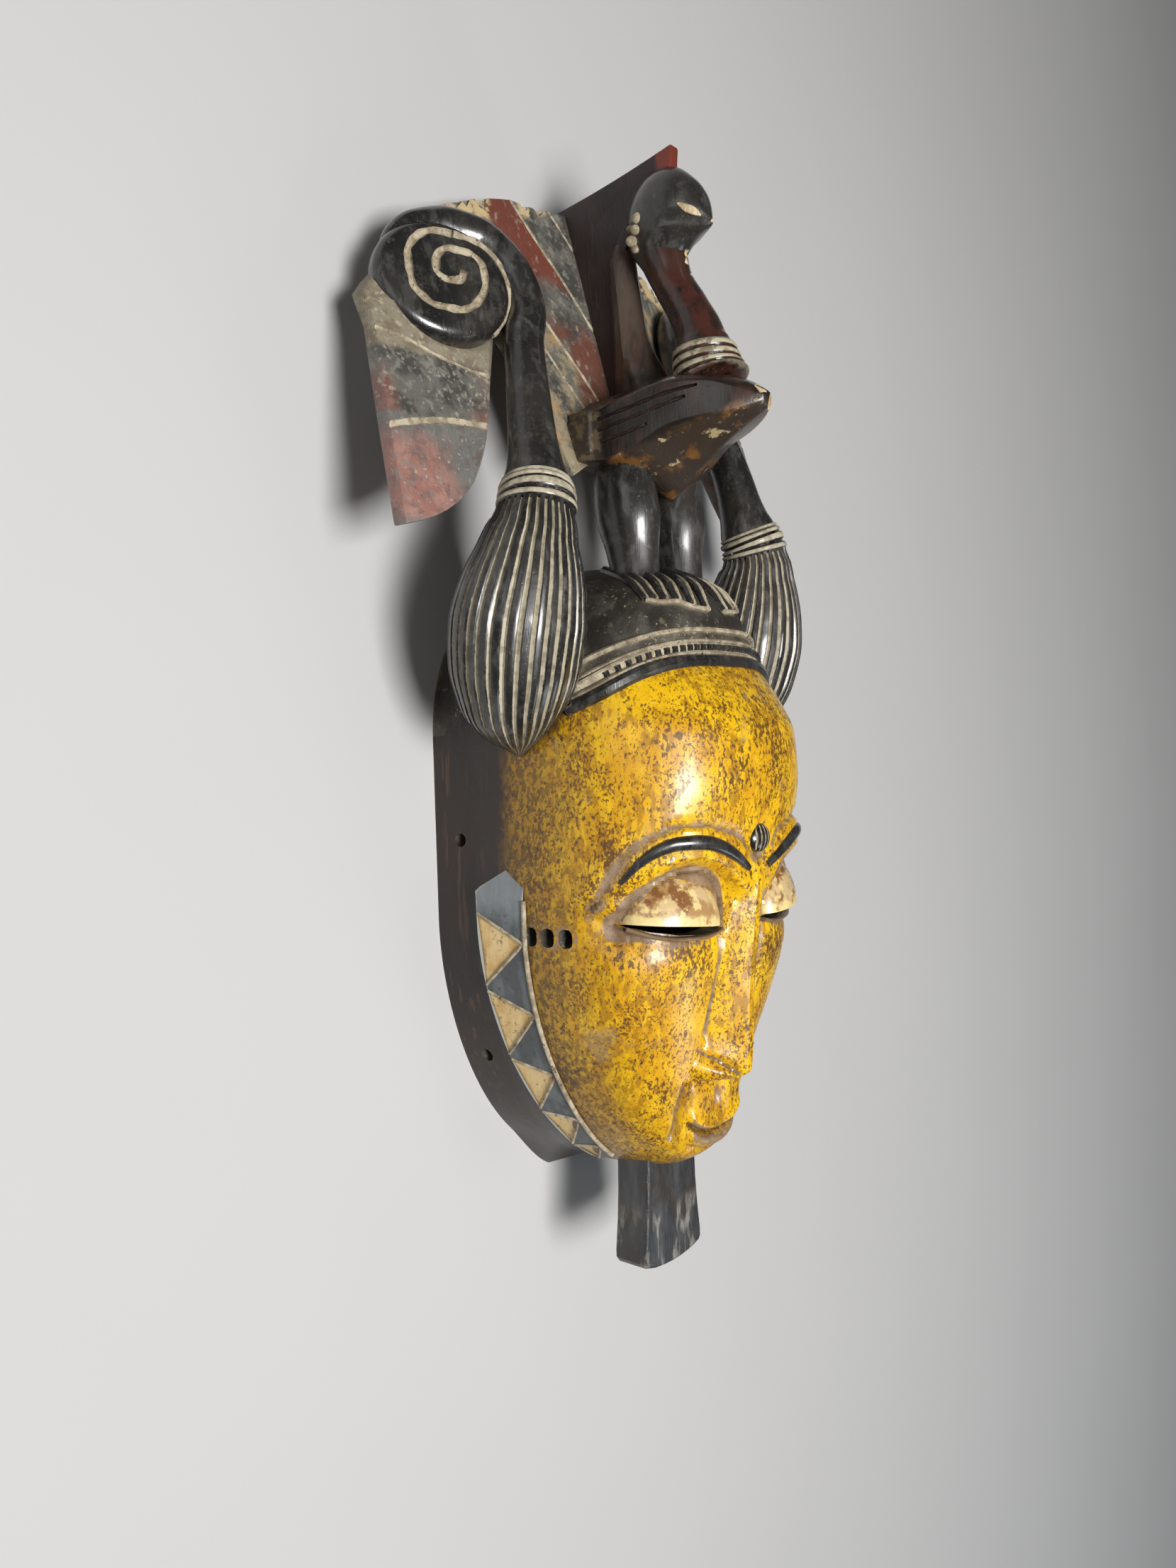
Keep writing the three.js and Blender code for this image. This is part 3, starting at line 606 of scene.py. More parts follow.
print("face with eyes and holes:", len(mask.data.polygons), "faces")

# %% [markdown]
# ## The collar
# A slanting band runs round the jaw. Its outer edge stands clear of the side wall, and triangles
# are cut down into it, so the pale ones lie a little below the dark ones. The cutters carry the
# cream paint, so the cuts take it.

# %% Collar
COLLAR_TIP, TIP_SHARE = (60.6, 171.5, 42), 0.08


def collar_outer(angle):
    """The edge of the band on the side wall, at an angle round the jaw."""
    height = 149 - 105.5 * np.sin(angle)
    depth = 23 + 12 * np.sin(np.maximum(angle, 0)) ** 2
    return np.stack([half_width(height) + 4.5 - 3 * np.sin(angle), height, depth], axis=-1)


def collar_inner(angle):
    """The edge of the band on the face."""
    height = 148 - 98 * np.sin(angle)
    depth = 43 + 4 * np.sin(np.maximum(angle, 0)) ** 2
    rise = np.clip((depth - WALL) / (front_depth(height) - WALL), 0, 1)
    full = fullness(height)
    width = half_width(height) * (1 - rise ** full) ** (1 / full)
    return np.stack([width + 0.6, height, depth], axis=-1)


def collar(u, v):
    """A three sided bar round the jaw, whose third side is let into the wood."""
    start, end = -0.1, math.pi / 2 - 0.1
    angle = start + (end - start) * np.clip((v - TIP_SHARE) / (1 - TIP_SHARE), 0, 1)
    inner, outer = collar_inner(angle), collar_outer(angle)
    root = inner * 0.8 + np.stack([0 * v, 146 + 0 * v, inner[:, 2]], axis=-1) * 0.2
    root[:, 2] -= 20
    corners = np.stack([inner, outer, root, inner])
    spot = u * 3
    index = np.clip(np.floor(spot).astype(int), 0, 2)
    t = (spot - index)[:, None]
    pick = np.arange(len(u))
    place = corners[index, pick] * (1 - t) + corners[index + 1, pick] * t
    peak = np.clip(1 - v / TIP_SHARE, 0, 1)[:, None] * 0.85
    return place * (1 - peak) + np.array(COLLAR_TIP) * peak


def on_band(angle, t):
    """A place on the collar, a share t of the way from its inner to its outer edge."""
    return collar_inner(angle) * (1 - t) + collar_outer(angle) * t


band = rolled("collar", 24, 84, collar, slate)
edges = []
for start in (-0.015 + 0.287 * i for i in range(5)):
    ring = np.array([on_band(start, 0.985), on_band(start + 0.1, 0.03), on_band(start + 0.262, 0.985)])
    top = ring + [2.4, 0, 4]
    floor = ring + [(-0.2, 0, -0.5), (-0.6, 0, -1.3), (-0.2, 0, -0.5)]

    def chip(u, v):
        corner = np.rint(u * 3).astype(int) % 3
        return np.where((v > 0.5)[:, None], top[corner], floor[corner])

    combine(band, rolled("chip", 3, 1, chip, cream), "DIFFERENCE")
    edges += [(ring[0], ring[1]), (ring[1], ring[2])]
for a, b in edges:
    middle = (a + b) / 2 + np.array([0.1, 0, 0.1])
    combine(band, swept("scraped_edge", [a, middle, b], 6, 8, steady(0.62, 0.62), clay_fill, OUT_OF_FACE))
hem = [collar_inner(angle) + [0.2, 0, 0.3] for angle in np.linspace(-0.08, math.pi / 2 - 0.12, 12)]
combine(band, swept("collar_hem", hem, 60, 10, steady(0.9, 0.9), clay_fill, OUT_OF_FACE))
on_both_sides(mask, band)
print("with collar:", len(mask.data.polygons), "faces")

# %% [markdown]
# ## The chin peg
# A flat peg under the chin that widens to its rounded end. It is sawn to its outline and its long
# edges are rounded.

# %% Chin peg
peg_side = [(16.2, 52), (16.6, 34), (17.6, 22), (18.9, 12), (19, 8.5), (17.6, 6.6), (12, 5), (5, 4.2),
            (0, 4)]
peg_outline = peg_side + [(-x, height) for x, height in reversed(peg_side[:-1])]
peg = cut_board("chin_peg", peg_outline, 16, peg_slate, 1.8, 4)
peg.data.transform(Matrix.Translation((0, 0, 0.0445)))
combine(mask, peg)

# %% [markdown]
# ## Ribbed tresses
# Each tress swells like a gourd. Its ribs are what is left between narrow grooves, so the rolled
# sheet is pressed in along one line for each rib, and the same lines are noted for the clay. Four
# rings close it, and a neck runs on from them, leans back and curls over the disc.

# %% Gourds, rings and necks
RIBS, GOURD_SHARE = 32, 0.915
tress_line = [(63.5, 209.5, 43), (72, 232, 49), (74.5, 257, 54.8), (73.6, 280, 60.2), (71.6, 293.8, 62.2),
              (68.8, 304.6, 60.4)]
gourd_size = through([(0, 1.2), (0.04, 5.4), (0.1, 12), (0.21, 19.6), (0.35, 23.7), (0.49, 24.5),
                      (0.63, 22.4), (0.75, 18.6), (0.83, 15.8), (0.9, 13.7), (1, 13.2)])


def groove_at(angle, share):
    """One in the middle of a groove between two ribs, nought on the ribs."""
    wave = np.cos(angle * RIBS + 0.25 * np.sin(5 * angle))
    return np.clip((wave - 0.3) / 0.7, 0, 1) ** 0.7


def gourd_reach(share, angle):
    size = gourd_size(share * GOURD_SHARE)
    size = size * (1 + 0.004 * np.sin(7 * angle + 9 * share))
    size = size - 1.35 * np.minimum(1, size / 13) * groove_at(angle, share)
    return size, size


def gourd_clay(u, v):
    return groove_at(2 * math.pi * u, v)


def along_tress(start, end, count):
    """Points of the tress's line between two shares of its length."""
    line = smooth_line(tress_line)
    return [line(np.array(t)) for t in np.linspace(start, end, count)]


gourd = swept("tress", along_tress(0, GOURD_SHARE, 14), 40, RIBS * 6, gourd_reach, lacquer,
              clay=gourd_clay)
ring_size = through([(0, 12.8), (0.06, 14), (0.17, 14.4), (0.26, 13.9), (0.3, 12.7), (0.34, 13.6),
                     (0.45, 14.1), (0.54, 13.7), (0.58, 12.5), (0.62, 13.3), (0.72, 13.7), (0.8, 13.3),
                     (0.84, 12.2), (0.88, 12.9), (0.95, 12.8), (1, 11.2)])


def ring_clay(u, v):
    """The clay has stayed on the rounded rings, and their cuts are dark."""
    return sum(bump(v - ring, 0.075) for ring in (0.16, 0.44, 0.71, 0.93))


rings = swept("tress_rings", along_tress(0.89, 1.0, 4), 52, 44,
              lambda t, angle: (ring_size(t) * (1 + 0.006 * np.sin(3 * angle)), ring_size(t)), lacquer,
              clay=ring_clay)
DISC_MIDDLE = (83, 378.2, 27)
outward = Vector((0.33, 0.24, 1)).normalized()  # the way that the disc faces
across = (Vector((1, 0, 0)) - outward * outward.x).normalized()
upward = outward.cross(across)


def on_disc(a, b, out=0.0):
    """A place counted across, up and out from the middle of the spiral disc."""
    return np.array(DISC_MIDDLE) + a * np.array(across) + b * np.array(upward) + out * np.array(outward)


neck_size = through([(0, 11.2), (0.03, 11.4), (0.07, 9.9), (0.135, 8.5), (0.2, 7.9), (0.3, 7.4), (0.5, 7),
                     (0.62, 7.0), (0.75, 6.7), (0.86, 5.6), (0.94, 4.2), (1, 2.2)])
rising = [(69.9, 299.5, 61.2), (67.6, 311.5, 58.6), (65.6, 326.4, 55.6), (62, 343, 51), (56.5, 360, 45)]
curl = [on_disc(*place) for place in (
    (-35.6, -4, 1.5), (-34, 6.5, 1), (-29, 15.8, 0.6), (-20.5, 22.6, 0.3), (-9, 25.2, 0), (3, 23.6, 0),
    (12.4, 17.6, -0.6), (17.6, 9, -3))]
neck = swept("tress_neck", rising + curl, 84, 30, lambda t, angle: (
    neck_size(t) * 1.03 * (1 + 0.02 * np.sin(4 * angle)), neck_size(t) * 1.06), lacquer)
combine(gourd, rings)
combine(gourd, neck)
print("tress:", len(gourd.data.polygons), "faces")

# %% [markdown]
# ## The spiral discs
# A thick disc with soft shoulders closes each tress. It starts as a short cylinder, its rims are
# rounded, and a clay-filled groove is cut in its face along a spiral of a little over two turns.

# %% Disc and spiral
disc_place = Matrix.Translation(Vector(in_metres(on_disc(-2, 0.3)))) @ Matrix(
    (across, upward, outward)).transposed().to_4x4()
bpy.ops.object.select_all(action="DESELECT")
bpy.ops.mesh.primitive_cylinder_add(vertices=96, radius=23.5 * MM, depth=13 * MM)
disc = rounded(shaped("spiral_disc", lacquer), 5, 7, angle=30)
disc.data.transform(disc_place @ Matrix.Diagonal((1.13, 1, 1, 1)))
combine(gourd, disc)
spiral = [on_disc(a, b, 6.6) for a, b in (
    (-7.9, 17.8), (-1.6, 18.2), (6.7, 15.1), (11.9, 7.5), (12.4, -3.7), (9, -8.6), (4.7, -11.4),
    (-4.1, -12.2), (-12.1, -8.6), (-17, -1), (-17.6, 6.2), (-12.9, 11), (-5.3, 11.8), (0.6, 7.8),
    (1.8, 2.4), (-2, -0.8), (-7.4, 0), (-9.4, 3.4))]
groove = swept("spiral_tool", spiral, 150, 10, lambda t, angle: (
    1.45 + 0.2 * np.sin(40 * t), 1.5 + 0.2 * np.sin(61 * t) + 0.14 * np.sin(133 * t)), clay_fill,
    OUT_OF_FACE)
combine(gourd, groove, "DIFFERENCE")
arm = [on_disc(*place) for place in (
    (-18.4, -17.6, 1.5), (-23.6, -12, 2.4), (-27.8, -1.2, 3.4), (-25.8, 8.8, 4.4), (-17, 15.9, 5.8),
    (-7.9, 17.8, 6.1))]
combine(gourd, swept("spiral_arm", arm, 60, 10, lambda t, angle: (
    1.3 + 0.15 * np.sin(33 * t), 1.5 + 0.2 * np.sin(47 * t)), clay_fill, OUT_OF_FACE))

# %% [markdown]
# ## Wings
# Each wing is a board sawn to its outline, swept back to its edge and leaned back towards its top.
# The feathers are only shown by a few straight lines cut in and rubbed with clay, and the upper
# edge has lost a few flakes.

# %% Wings
WING_THICK = 6.5


def curve_points(start, middle, end, count=6):
    """Points of a curve that leaves its start towards the middle point and comes in from it."""
    start, middle, end = (np.array(p, float) for p in (start, middle, end))
    t = np.linspace(0, 1, count + 1)[1:, None]
    return [tuple(p) for p in (1 - t) ** 2 * start + 2 * t * (1 - t) * middle + t ** 2 * end]


wing_outline = [(-2, 432), (24, 428.5), (33, 428.5)]
for middle, end in (((50, 424.5), (66, 416.5)), ((84, 408), (93, 394)), ((99, 384), (108, 376))):
    wing_outline += curve_points(wing_outline[-1], middle, end)
wing_outline += [(113, 370), (114, 357)]
for middle, end in (((116.5, 330), (119.5, 286)), ((98, 291), (86, 304.5)), ((74, 320), (68, 342))):
    wing_outline += curve_points(wing_outline[-1], middle, end)
wing_outline += [(57, 372), (46, 352), (35, 314.5), (26, 320), (-2, 326)]
wing = cut_board("wing", wing_outline, WING_THICK, wing_paint, 0.7)


def wing_front(x, height):
    """How far out the wing's front face lies."""
    behind_disc = np.clip((np.abs(x) - 74) / 10, 0, 1) * np.clip((height - 362) / 9, 0, 1)
    return 45 - 0.1 * np.abs(x) - 0.27 * (height - 343) - 4 * behind_disc


places = places_of(wing)
places[:, 2] += wing_front(places[:, 0], places[:, 1]) - WING_THICK
moved_to(wing, places)
for wide, path in ((1.0, [(118, 356), (103, 354.6), (89, 350.9), (62, 347)]),
                   (1.4, [(121, 319.6), (104.5, 324), (87.2, 326.9), (62, 327.8)]),
                   (0.9, [(33, 428.3), (24.5, 414.4), (14.8, 400.4), (2, 378.8)]),
                   (0.7, [(14, 432.6), (8, 423.4), (1, 412)]),
                   (0.9, [(42.8, 400), (30.2, 378.7), (14.2, 355.6), (8, 344.4)]),
                   (0.8, [(38, 372), (26, 354), (14, 336)])):
    path = [(x, height, float(wing_front(x, height)) + 0.2) for x, height in path]
    combine(wing, swept("feather_tool", path, 30, 8, lambda t, angle: (
        0.9 + 0.1 * np.sin(50 * t), wide * (1 + 0.13 * np.sin(35 * t))), clay_fill, OUT_OF_FACE),
        "DIFFERENCE")
for x, height, size in ((49, 425.6, 5), (57, 422.6, 4), (63, 419.6, 5), (20, 431.2, 5), (27, 430, 4)):
    place = (x, height, float(wing_front(x, height)) + 0.8)
    chip = block("wing_chip", (size * 2, size, 6), place, clay_fill, (0.5, 0.3, 0.04 * x))
    combine(wing, chip, "DIFFERENCE")
combine(gourd, wing)
on_both_sides(mask, gourd)
print("with tresses and wings:", len(mask.data.polygons), "faces")

# %% [markdown]
# ## Crest and post
# A tall thin crest stands between the wings, with a pointed post in front of it, behind the bird.

# %% Crest and post
CREST_THICK = 5.4
crest_outline = [(75, 442), *curve_points((75, 442), (45, 436), (16, 433.5)), (20, 410), (36, 352),
                 (46, 352), (48, 400), *curve_points((48, 400), (52, 412), (60, 418)), (74, 428)]
crest = cut_board("crest", crest_outline, CREST_THICK, crest_brown, 0.8)
flat_x, flat_height, flat_depth = places_of(crest).T
moved_to(crest, np.stack([CREST_THICK / 2 - flat_depth, flat_height, flat_x], axis=1))
close_up(crest)
post_wide = through([(0, 1.2), (0.06, 3.4), (0.15, 5.4), (0.5, 6.2), (1, 8)])
post_deep = through([(0, 1.5), (0.06, 3.6), (0.15, 5.6), (0.6, 7), (1, 13)])
post_line = [(0, 414, 48), (0, 405, 48), (0, 385, 50), (0, 368, 52), (0, 350, 56)]
post = swept("post", post_line, 30, 20, lambda t, angle: (
    post_wide(t) * (1 - 0.12 * np.abs(np.sin(2 * angle))),
    post_deep(t) * (1 + 0.1 * np.abs(np.sin(angle)) ** 6)), bird_brown)
combine(mask, crest)
combine(mask, post)

# %% [markdown]
# ## The bird
# The body is boat-shaped, with a square stern against the wings and a rounded breast that ends in
# a broken tip. Its edges are crisp where two knife cuts meet, so a few cross cuts are joined with
# straight faces and only the edges are rounded.

# %% Body
hull = [  # depth, top, shoulder, side, bilge, keel
    (36, 352, (14, 348), (31, 337), (30, 324), 321),
    (46, 351.5, (16, 347), (32.5, 336), (31.5, 321), 319),
    (60, 352.3, (15.5, 348.6), (29.5, 339.5), (29, 319.8), 313.5),
    (68, 353.3, (14.5, 350), (27, 342.2), (26.5, 321.5), 307.2),
    (84, 352, (13, 350), (21.5, 346), (21, 329.5), 318),
    (97, 349.5, (10, 348), (16, 345), (15.5, 331.5), 326),
    (107, 345, (6, 344), (9.5, 341.5), (9, 333.5), 331),
    (114, 340, (2.5, 339.5), (3.6, 338), (2.5, 336), 334.5)]
CORNERS = 8


def hull_corner(cut, corner):
    """A corner of one cross cut, counted from the top down its right side and up its left."""
    _, top, shoulder, side, bilge, keel = cut
    right = [(0, top), shoulder, side, bilge, (0, keel)]
    if corner < len(right):
        return right[corner]
    x, height = right[CORNERS - corner]
    return -x, height


hull_rules = [[through([(cut[0], hull_corner(cut, corner)[k]) for cut in hull]) for k in range(2)]
              for corner in range(CORNERS)]


def hull_place(u, v):
    depth = hull[0][0] + (hull[-1][0] - hull[0][0]) * v
    corner = np.rint(u * CORNERS).astype(int) % CORNERS
    x = np.choose(corner, [rule[0](depth) for rule in hull_rules])
    height = np.choose(corner, [rule[1](depth) for rule in hull_rules])
    return np.stack([x, height, depth], axis=1)


bird = rounded(rolled("bird", CORNERS, 26, hull_place, bird_brown), 1.0, 3)
stern = block("stern", (11, 17, 12), (26.4, 331, 49.5), bird_brown, (0, 0.08, 0))
on_both_sides(bird, rounded(stern, 1.4, 3))
for path in ([(30, 335, 57), (27, 337.6, 68), (21.4, 341.6, 84), (16.8, 343, 94)],
             [(30.2, 331, 57), (27.3, 333.6, 68), (21.8, 337.8, 84), (19, 339.4, 90)],
             [(30, 326.6, 58), (27.2, 328.8, 68), (24.4, 331.2, 76)]):
    for side in (-1, 1):
        cut = [(x * side, height, depth) for x, height, depth in path]
        combine(bird, swept("side_cut", cut, 24, 8, lambda t, angle: (
            1.5 + 0 * t, 0.75 + 0.1 * np.sin(30 * t)), crest_brown), "DIFFERENCE")

# %% Neck, head and beak
neck_rule = through([(0, 13.4), (0.24, 10.6), (0.28, 9.7), (0.36, 9.1), (0.48, 8.3), (0.68, 7.9),
                     (0.85, 9), (1, 10)])
RING, RING_COUNT = 0.0595, 5


def ring_level(t, angle):
    """The rings run level although the neck leans, so they are counted from a level plane."""
    return (t + 0.07 - 0.025 * np.sin(angle)) / RING


def neck_reach(t, angle):
    level = ring_level(t, angle)
    ripple = 1.25 * np.abs(np.sin(math.pi * level)) ** 0.7 * (level < RING_COUNT)
    return neck_rule(t) + ripple, neck_rule(t) + ripple


def neck_clay(u, v):
    level = ring_level(v, 2 * math.pi * u)
    return bump(level % 1 - 0.5, 0.3) * (level < RING_COUNT) * np.clip(level - 1.1, 0, 1)


bird_neck_line = [(0, 348, 89.5), (0, 351, 88.4), (0, 363.5, 85.2), (0, 368, 84), (0, 378.4, 79.2),
                  (0, 390, 72.6), (0, 400, 68.7), (0, 408, 66)]
combine(bird, swept("bird_neck", bird_neck_line, 110, 40, neck_reach, bird_brown, clay=neck_clay))
HEAD_FOOT, HEAD_HIGH = 397, 37.8
head_cuts = [  # height, half width, back, front
    (397, 8, 60, 75.5), (400.5, 9, 57.5, 77.5), (403, 10.4, 55.6, 80.5), (405.5, 11.3, 54.4, 86),
    (407.5, 12, 53.6, 91.8), (410, 12.3, 53, 91.2), (414, 12.6, 53, 90), (419, 12.4, 54, 88.6),
    (424, 11, 56, 86), (429, 8.4, 59.6, 81.6), (432.5, 5, 63.6, 77.4), (434.8, 1.4, 68, 73)]
head_rules = [through([(cut[0], cut[k]) for cut in head_cuts]) for k in (1, 2, 3)]


def head_place(u, v):
    height = HEAD_FOOT + HEAD_HIGH * (1 - (1 - v) ** 1.3)
    wide, back, front = (rule(height) for rule in head_rules)
    angle = 2 * math.pi * u
    narrow = 1 - 0.75 * bump(height - 407.5, 4.5) * np.clip(np.cos(angle), 0, 1) ** 1.2
    return np.stack([wide * np.sin(angle) * narrow, height,
                     (back + front) / 2 + (front - back) / 2 * np.cos(angle)], axis=1)


combine(bird, rolled("bird_head", 64, 48, head_place, lacquer))


def broken(piece, place, size, tilt, name="break"):
    """Knocks a corner off, and the break shows bare wood."""
    combine(piece, block(name, size, place, raw_wood, tilt), "DIFFERENCE")


def eye_size(t, angle):
    swell = np.sin(math.pi * np.clip(t, 0.04, 0.96))
    return 0.9 * swell ** 0.6, 1.7 * swell ** 0.7


broken(bird, (-0.4, 408.2, 93.4), (4, 2.6, 4), (0.5, 0.3, 0.2), "beak_break")
eye_line = [(9.9, 414.6, 82.4), (7.9, 413.2, 84.4), (5.8, 411.7, 86.8), (3.6, 410.1, 88.7)]
for side in (-1, 1):
    slot = [(x * side, height, depth) for x, height, depth in eye_line]
    combine(bird, swept("bird_eye", slot, 16, 12, eye_size, raw_wood, (side, 0, 1)))

# %% Clay lumps at the nape
for x, height, depth, size in ((-11.3, 413.9, 64.6, 2.2), (-11.4, 409.8, 63.4, 2.0),
                               (-10.6, 406.4, 61, 2.2), (-9.6, 403.4, 62, 1.6),
                               (-10.2, 411.4, 60.2, 1.5)):
    combine(bird, pressed_ball("nape_clay", (size * 0.8, size, size * 1.1), (x, height, depth), clay_fill,
                               (0.3, 0.2, 0.1), 14, 10))

# %% Breaks and chips
broken(bird, (1.5, 337.5, 116.2), (9, 9, 5), (0.3, 0.5, 0.2))
broken(bird, (-2.6, 342.4, 114.6), (7, 5, 5), (-0.6, -0.5, 0.4))
broken(bird, (0.5, 344.8, 111), (6, 3, 4), (0.5, 0.2, 0.7))
for place, size in (((1.2, 397.6, 79.6), (2.6, 3.4, 3)), ((1.5, 392.2, 81.6), (2.4, 2.4, 2.6)),
                    ((2.2, 400.6, 78.6), (2.4, 2.6, 3)), ((-6.4, 375, 71.5), (2, 3, 2))):
    broken(bird, place, size, (0.4, 0.6, 0.3))

# %% Legs and toes
leg_size = through([(0, 9.6), (0.15, 11.4), (0.4, 12), (0.72, 9.7), (0.9, 9), (1, 10)])
leg_line = [(14.6, 321, 56), (15.2, 308, 58), (14.6, 290, 60), (14.5, 272, 62)]
leg = swept("leg", leg_line, 30, 32, lambda t, angle: (
    leg_size(t) * (1 - 0.03 * np.cos(4 * angle)),
    leg_size(t) * 1.05 * (1 + 0.07 * np.abs(np.sin(angle)) ** 9)), lacquer)
toes = [[(19, 280), (27, 272), (29.2, 265.2)], [(17, 280), (24.4, 272.5), (26.4, 265.4)],
        [(13.3, 280), (21, 271.9), (23.2, 265.4)], [(10.5, 280), (16.7, 272), (18.6, 265.2)],
        [(6, 280), (10.6, 272.5), (13, 263.6)], [(3, 280), (4.6, 272), (6.4, 262.8)]]
for start, middle, end in toes:
    path = [on_face(*start, 2.4), on_face(*middle, 1.2), on_face(*end, 0.4)]
    combine(leg, swept("toe", path, 12, 10, lambda t, angle: (
        2.3 - 0.8 * t, 2.1 + 0 * t), lacquer, OUT_OF_FACE))
    ridge = [place + [0, 0.3, lift] for place, lift in zip(path, (2.2, 2.0, 1.1))]
    combine(leg, swept("toe_ridge", ridge, 12, 8, lambda t, angle: (
        0.75 + 0 * t, 0.6 + 0.15 * np.sin(9 * t)), clay_fill, OUT_OF_FACE))
tips = [on_face(x, height, 0.9) for x, height in (
    (29.4, 265.4), (26, 264.4), (20, 264.8), (14, 262.9), (5.4, 262.3))]
combine(leg, swept("toe_tips", tips, 24, 8, lambda t, angle: (
    1.1 + 0.2 * np.sin(20 * t), 1.0 + 0 * t), clay_fill, OUT_OF_FACE))
on_both_sides(bird, leg)
combine(mask, bird)
print("with bird:", len(mask.data.polygons), "faces")

# %% [markdown]
# ## Hair band
# A smooth glossy band edges the forehead. Above it run pale lines and a row of small dark squares.

# %% Band, lines and squares
BAND_HALF = 59


def strip(name, rise, wide, high, finish):
    """A raised line that follows the hairline, at a rise above it."""
    path = [on_face(x, hairline(x) + rise) for x in np.linspace(-BAND_HALF, BAND_HALF, 23)]
    return swept(name, path, 64, 8, steady(high, wide), finish, OUT_OF_FACE)


BED_RISE = 6.2
combine(mask, strip("forehead_band", 1.2, 2.7, 2.4, lacquer))
combine(mask, strip("band_line", 4.2, 0.8, 1.6, clay_fill))
combine(mask, strip("square_bed", BED_RISE, 2.2, 1.2, clay_fill))
for x in np.linspace(-50, 50, 32):
    place = on_face(x, hairline(x) + BED_RISE, 0.6)
    slope = math.atan2(hairline(x + 0.5) - hairline(x - 0.5), 1)
    combine(mask, block("square", (1.9, 2.3, 3.2), place, lacquer, (0, 0, slope)))
combine(mask, strip("bed_line", 8.8, 0.7, 1.7, clay_fill))
combine(mask, strip("hair_line", 13.0, 1.1, 1.9, clay_fill))
print("finished carving:", len(mask.data.polygons), "faces")

# %% Smooth shading
only(mask)
bpy.ops.object.shade_smooth_by_angle(angle=math.radians(32))
mask.data.validate()
mask.data.calc_loop_triangles()
print("triangles:", len(mask.data.loop_triangles))

# %% [markdown]
# ## Finishes
# All colour, gloss and fine relief come from nodes that read the place on the mask, so nothing
# slides when the view changes. Four small node groups are shared: speckles, a limit between two
# paints, worn edges with hollows that take dust on some finishes and painted shade on others, and
# the knife's marks.

# %% Node helpers
def put(tree, kind, inputs=None, **settings):
    """Adds a node, sets it, and joins or fills its inputs."""
    made = tree.nodes.new("ShaderNode" + kind)
    for name, value in settings.items():
        setattr(made, name, value)
    for name, value in (inputs or {}).items():
        if isinstance(value, bpy.types.NodeSocket):
            tree.links.new(value, made.inputs[name])
        else:
            made.inputs[name].default_value = value
    return made


def shared_group(name, inputs, outputs):
    group = bpy.data.node_groups.new(name, "ShaderNodeTree")
    for label, value in inputs.items():
        socket = group.interface.new_socket(name=label, in_out="INPUT", socket_type="NodeSocketFloat")
        socket.default_value = value
    for label in outputs:
        group.interface.new_socket(name=label, in_out="OUTPUT", socket_type="NodeSocketFloat")
    start, end = group.nodes.new("NodeGroupInput"), group.nodes.new("NodeGroupOutput")
    return group, start.outputs, end.inputs


def maths(tree, how, a, b=0.0, clamp=False):
    return put(tree, "Math", {0: a, 1: b}, operation=how, use_clamp=clamp).outputs[0]


def ramp(tree, value, start, end):
    """Nought before the start, one after the end, and a soft step between them."""
    return put(tree, "MapRange", {"Value": value, "From Min": start, "From Max": end},
               interpolation_type="SMOOTHSTEP").outputs["Result"]


def smudge(tree, seed, scale, detail=3.0, stretch=1.0, rough=0.6):
    """A noise that reads the place on the mask; stretch above one draws it out up the face."""
    place = put(tree, "TexCoord").outputs["Object"]
    squeeze = put(tree, "CombineXYZ", {"X": 1.0, "Z": 1.0})
    if isinstance(stretch, bpy.types.NodeSocket):
        tree.links.new(maths(tree, "DIVIDE", 1.0, stretch), squeeze.inputs["Y"])
    else:
        squeeze.inputs["Y"].default_value = 1.0 / stretch
    moved = put(tree, "VectorMath", {0: place, 1: squeeze.outputs[0]}, operation="MULTIPLY").outputs[0]
    return put(tree, "TexNoise", {"Vector": moved, "W": seed, "Scale": scale, "Detail": detail,
                                  "Roughness": rough}, noise_dimensions="4D").outputs[0]


# %% Shared group: speckles
speckles, start, end = shared_group(
    "speckles", {"Scale": 600.0, "Cut": 0.58, "Soft": 0.04, "Seed": 0.0, "Stretch": 1.0, "Cluster": 0.0,
                 "Cluster Scale": 40.0, "Detail": 3.0}, ["Mask"])
fine = smudge(speckles, start["Seed"], start["Scale"], start["Detail"], start["Stretch"])
wide = smudge(speckles, maths(speckles, "ADD", start["Seed"], 7.3), start["Cluster Scale"], 2.0)
limit = maths(speckles, "SUBTRACT", start["Cut"],
              maths(speckles, "MULTIPLY", maths(speckles, "SUBTRACT", wide, 0.5), start["Cluster"]))
speckles.links.new(ramp(speckles, fine, maths(speckles, "SUBTRACT", limit, start["Soft"]),
                        maths(speckles, "ADD", limit, start["Soft"])), end["Mask"])

# %% Shared group: the limit between two paints
paint_limit, start, end = shared_group(
    "paint_limit", {"Position": 0.0, "Start": 0.0, "End": 1.0, "Wobble": 0.0, "Scale": 120.0, "Seed": 0.0},
    ["Mask"])
shake = maths(paint_limit, "MULTIPLY", maths(paint_limit, "SUBTRACT", smudge(
    paint_limit, start["Seed"], start["Scale"], 4.0), 0.5), start["Wobble"])
paint_limit.links.new(ramp(paint_limit, maths(paint_limit, "ADD", start["Position"], shake),
                           start["Start"], start["End"]), end["Mask"])
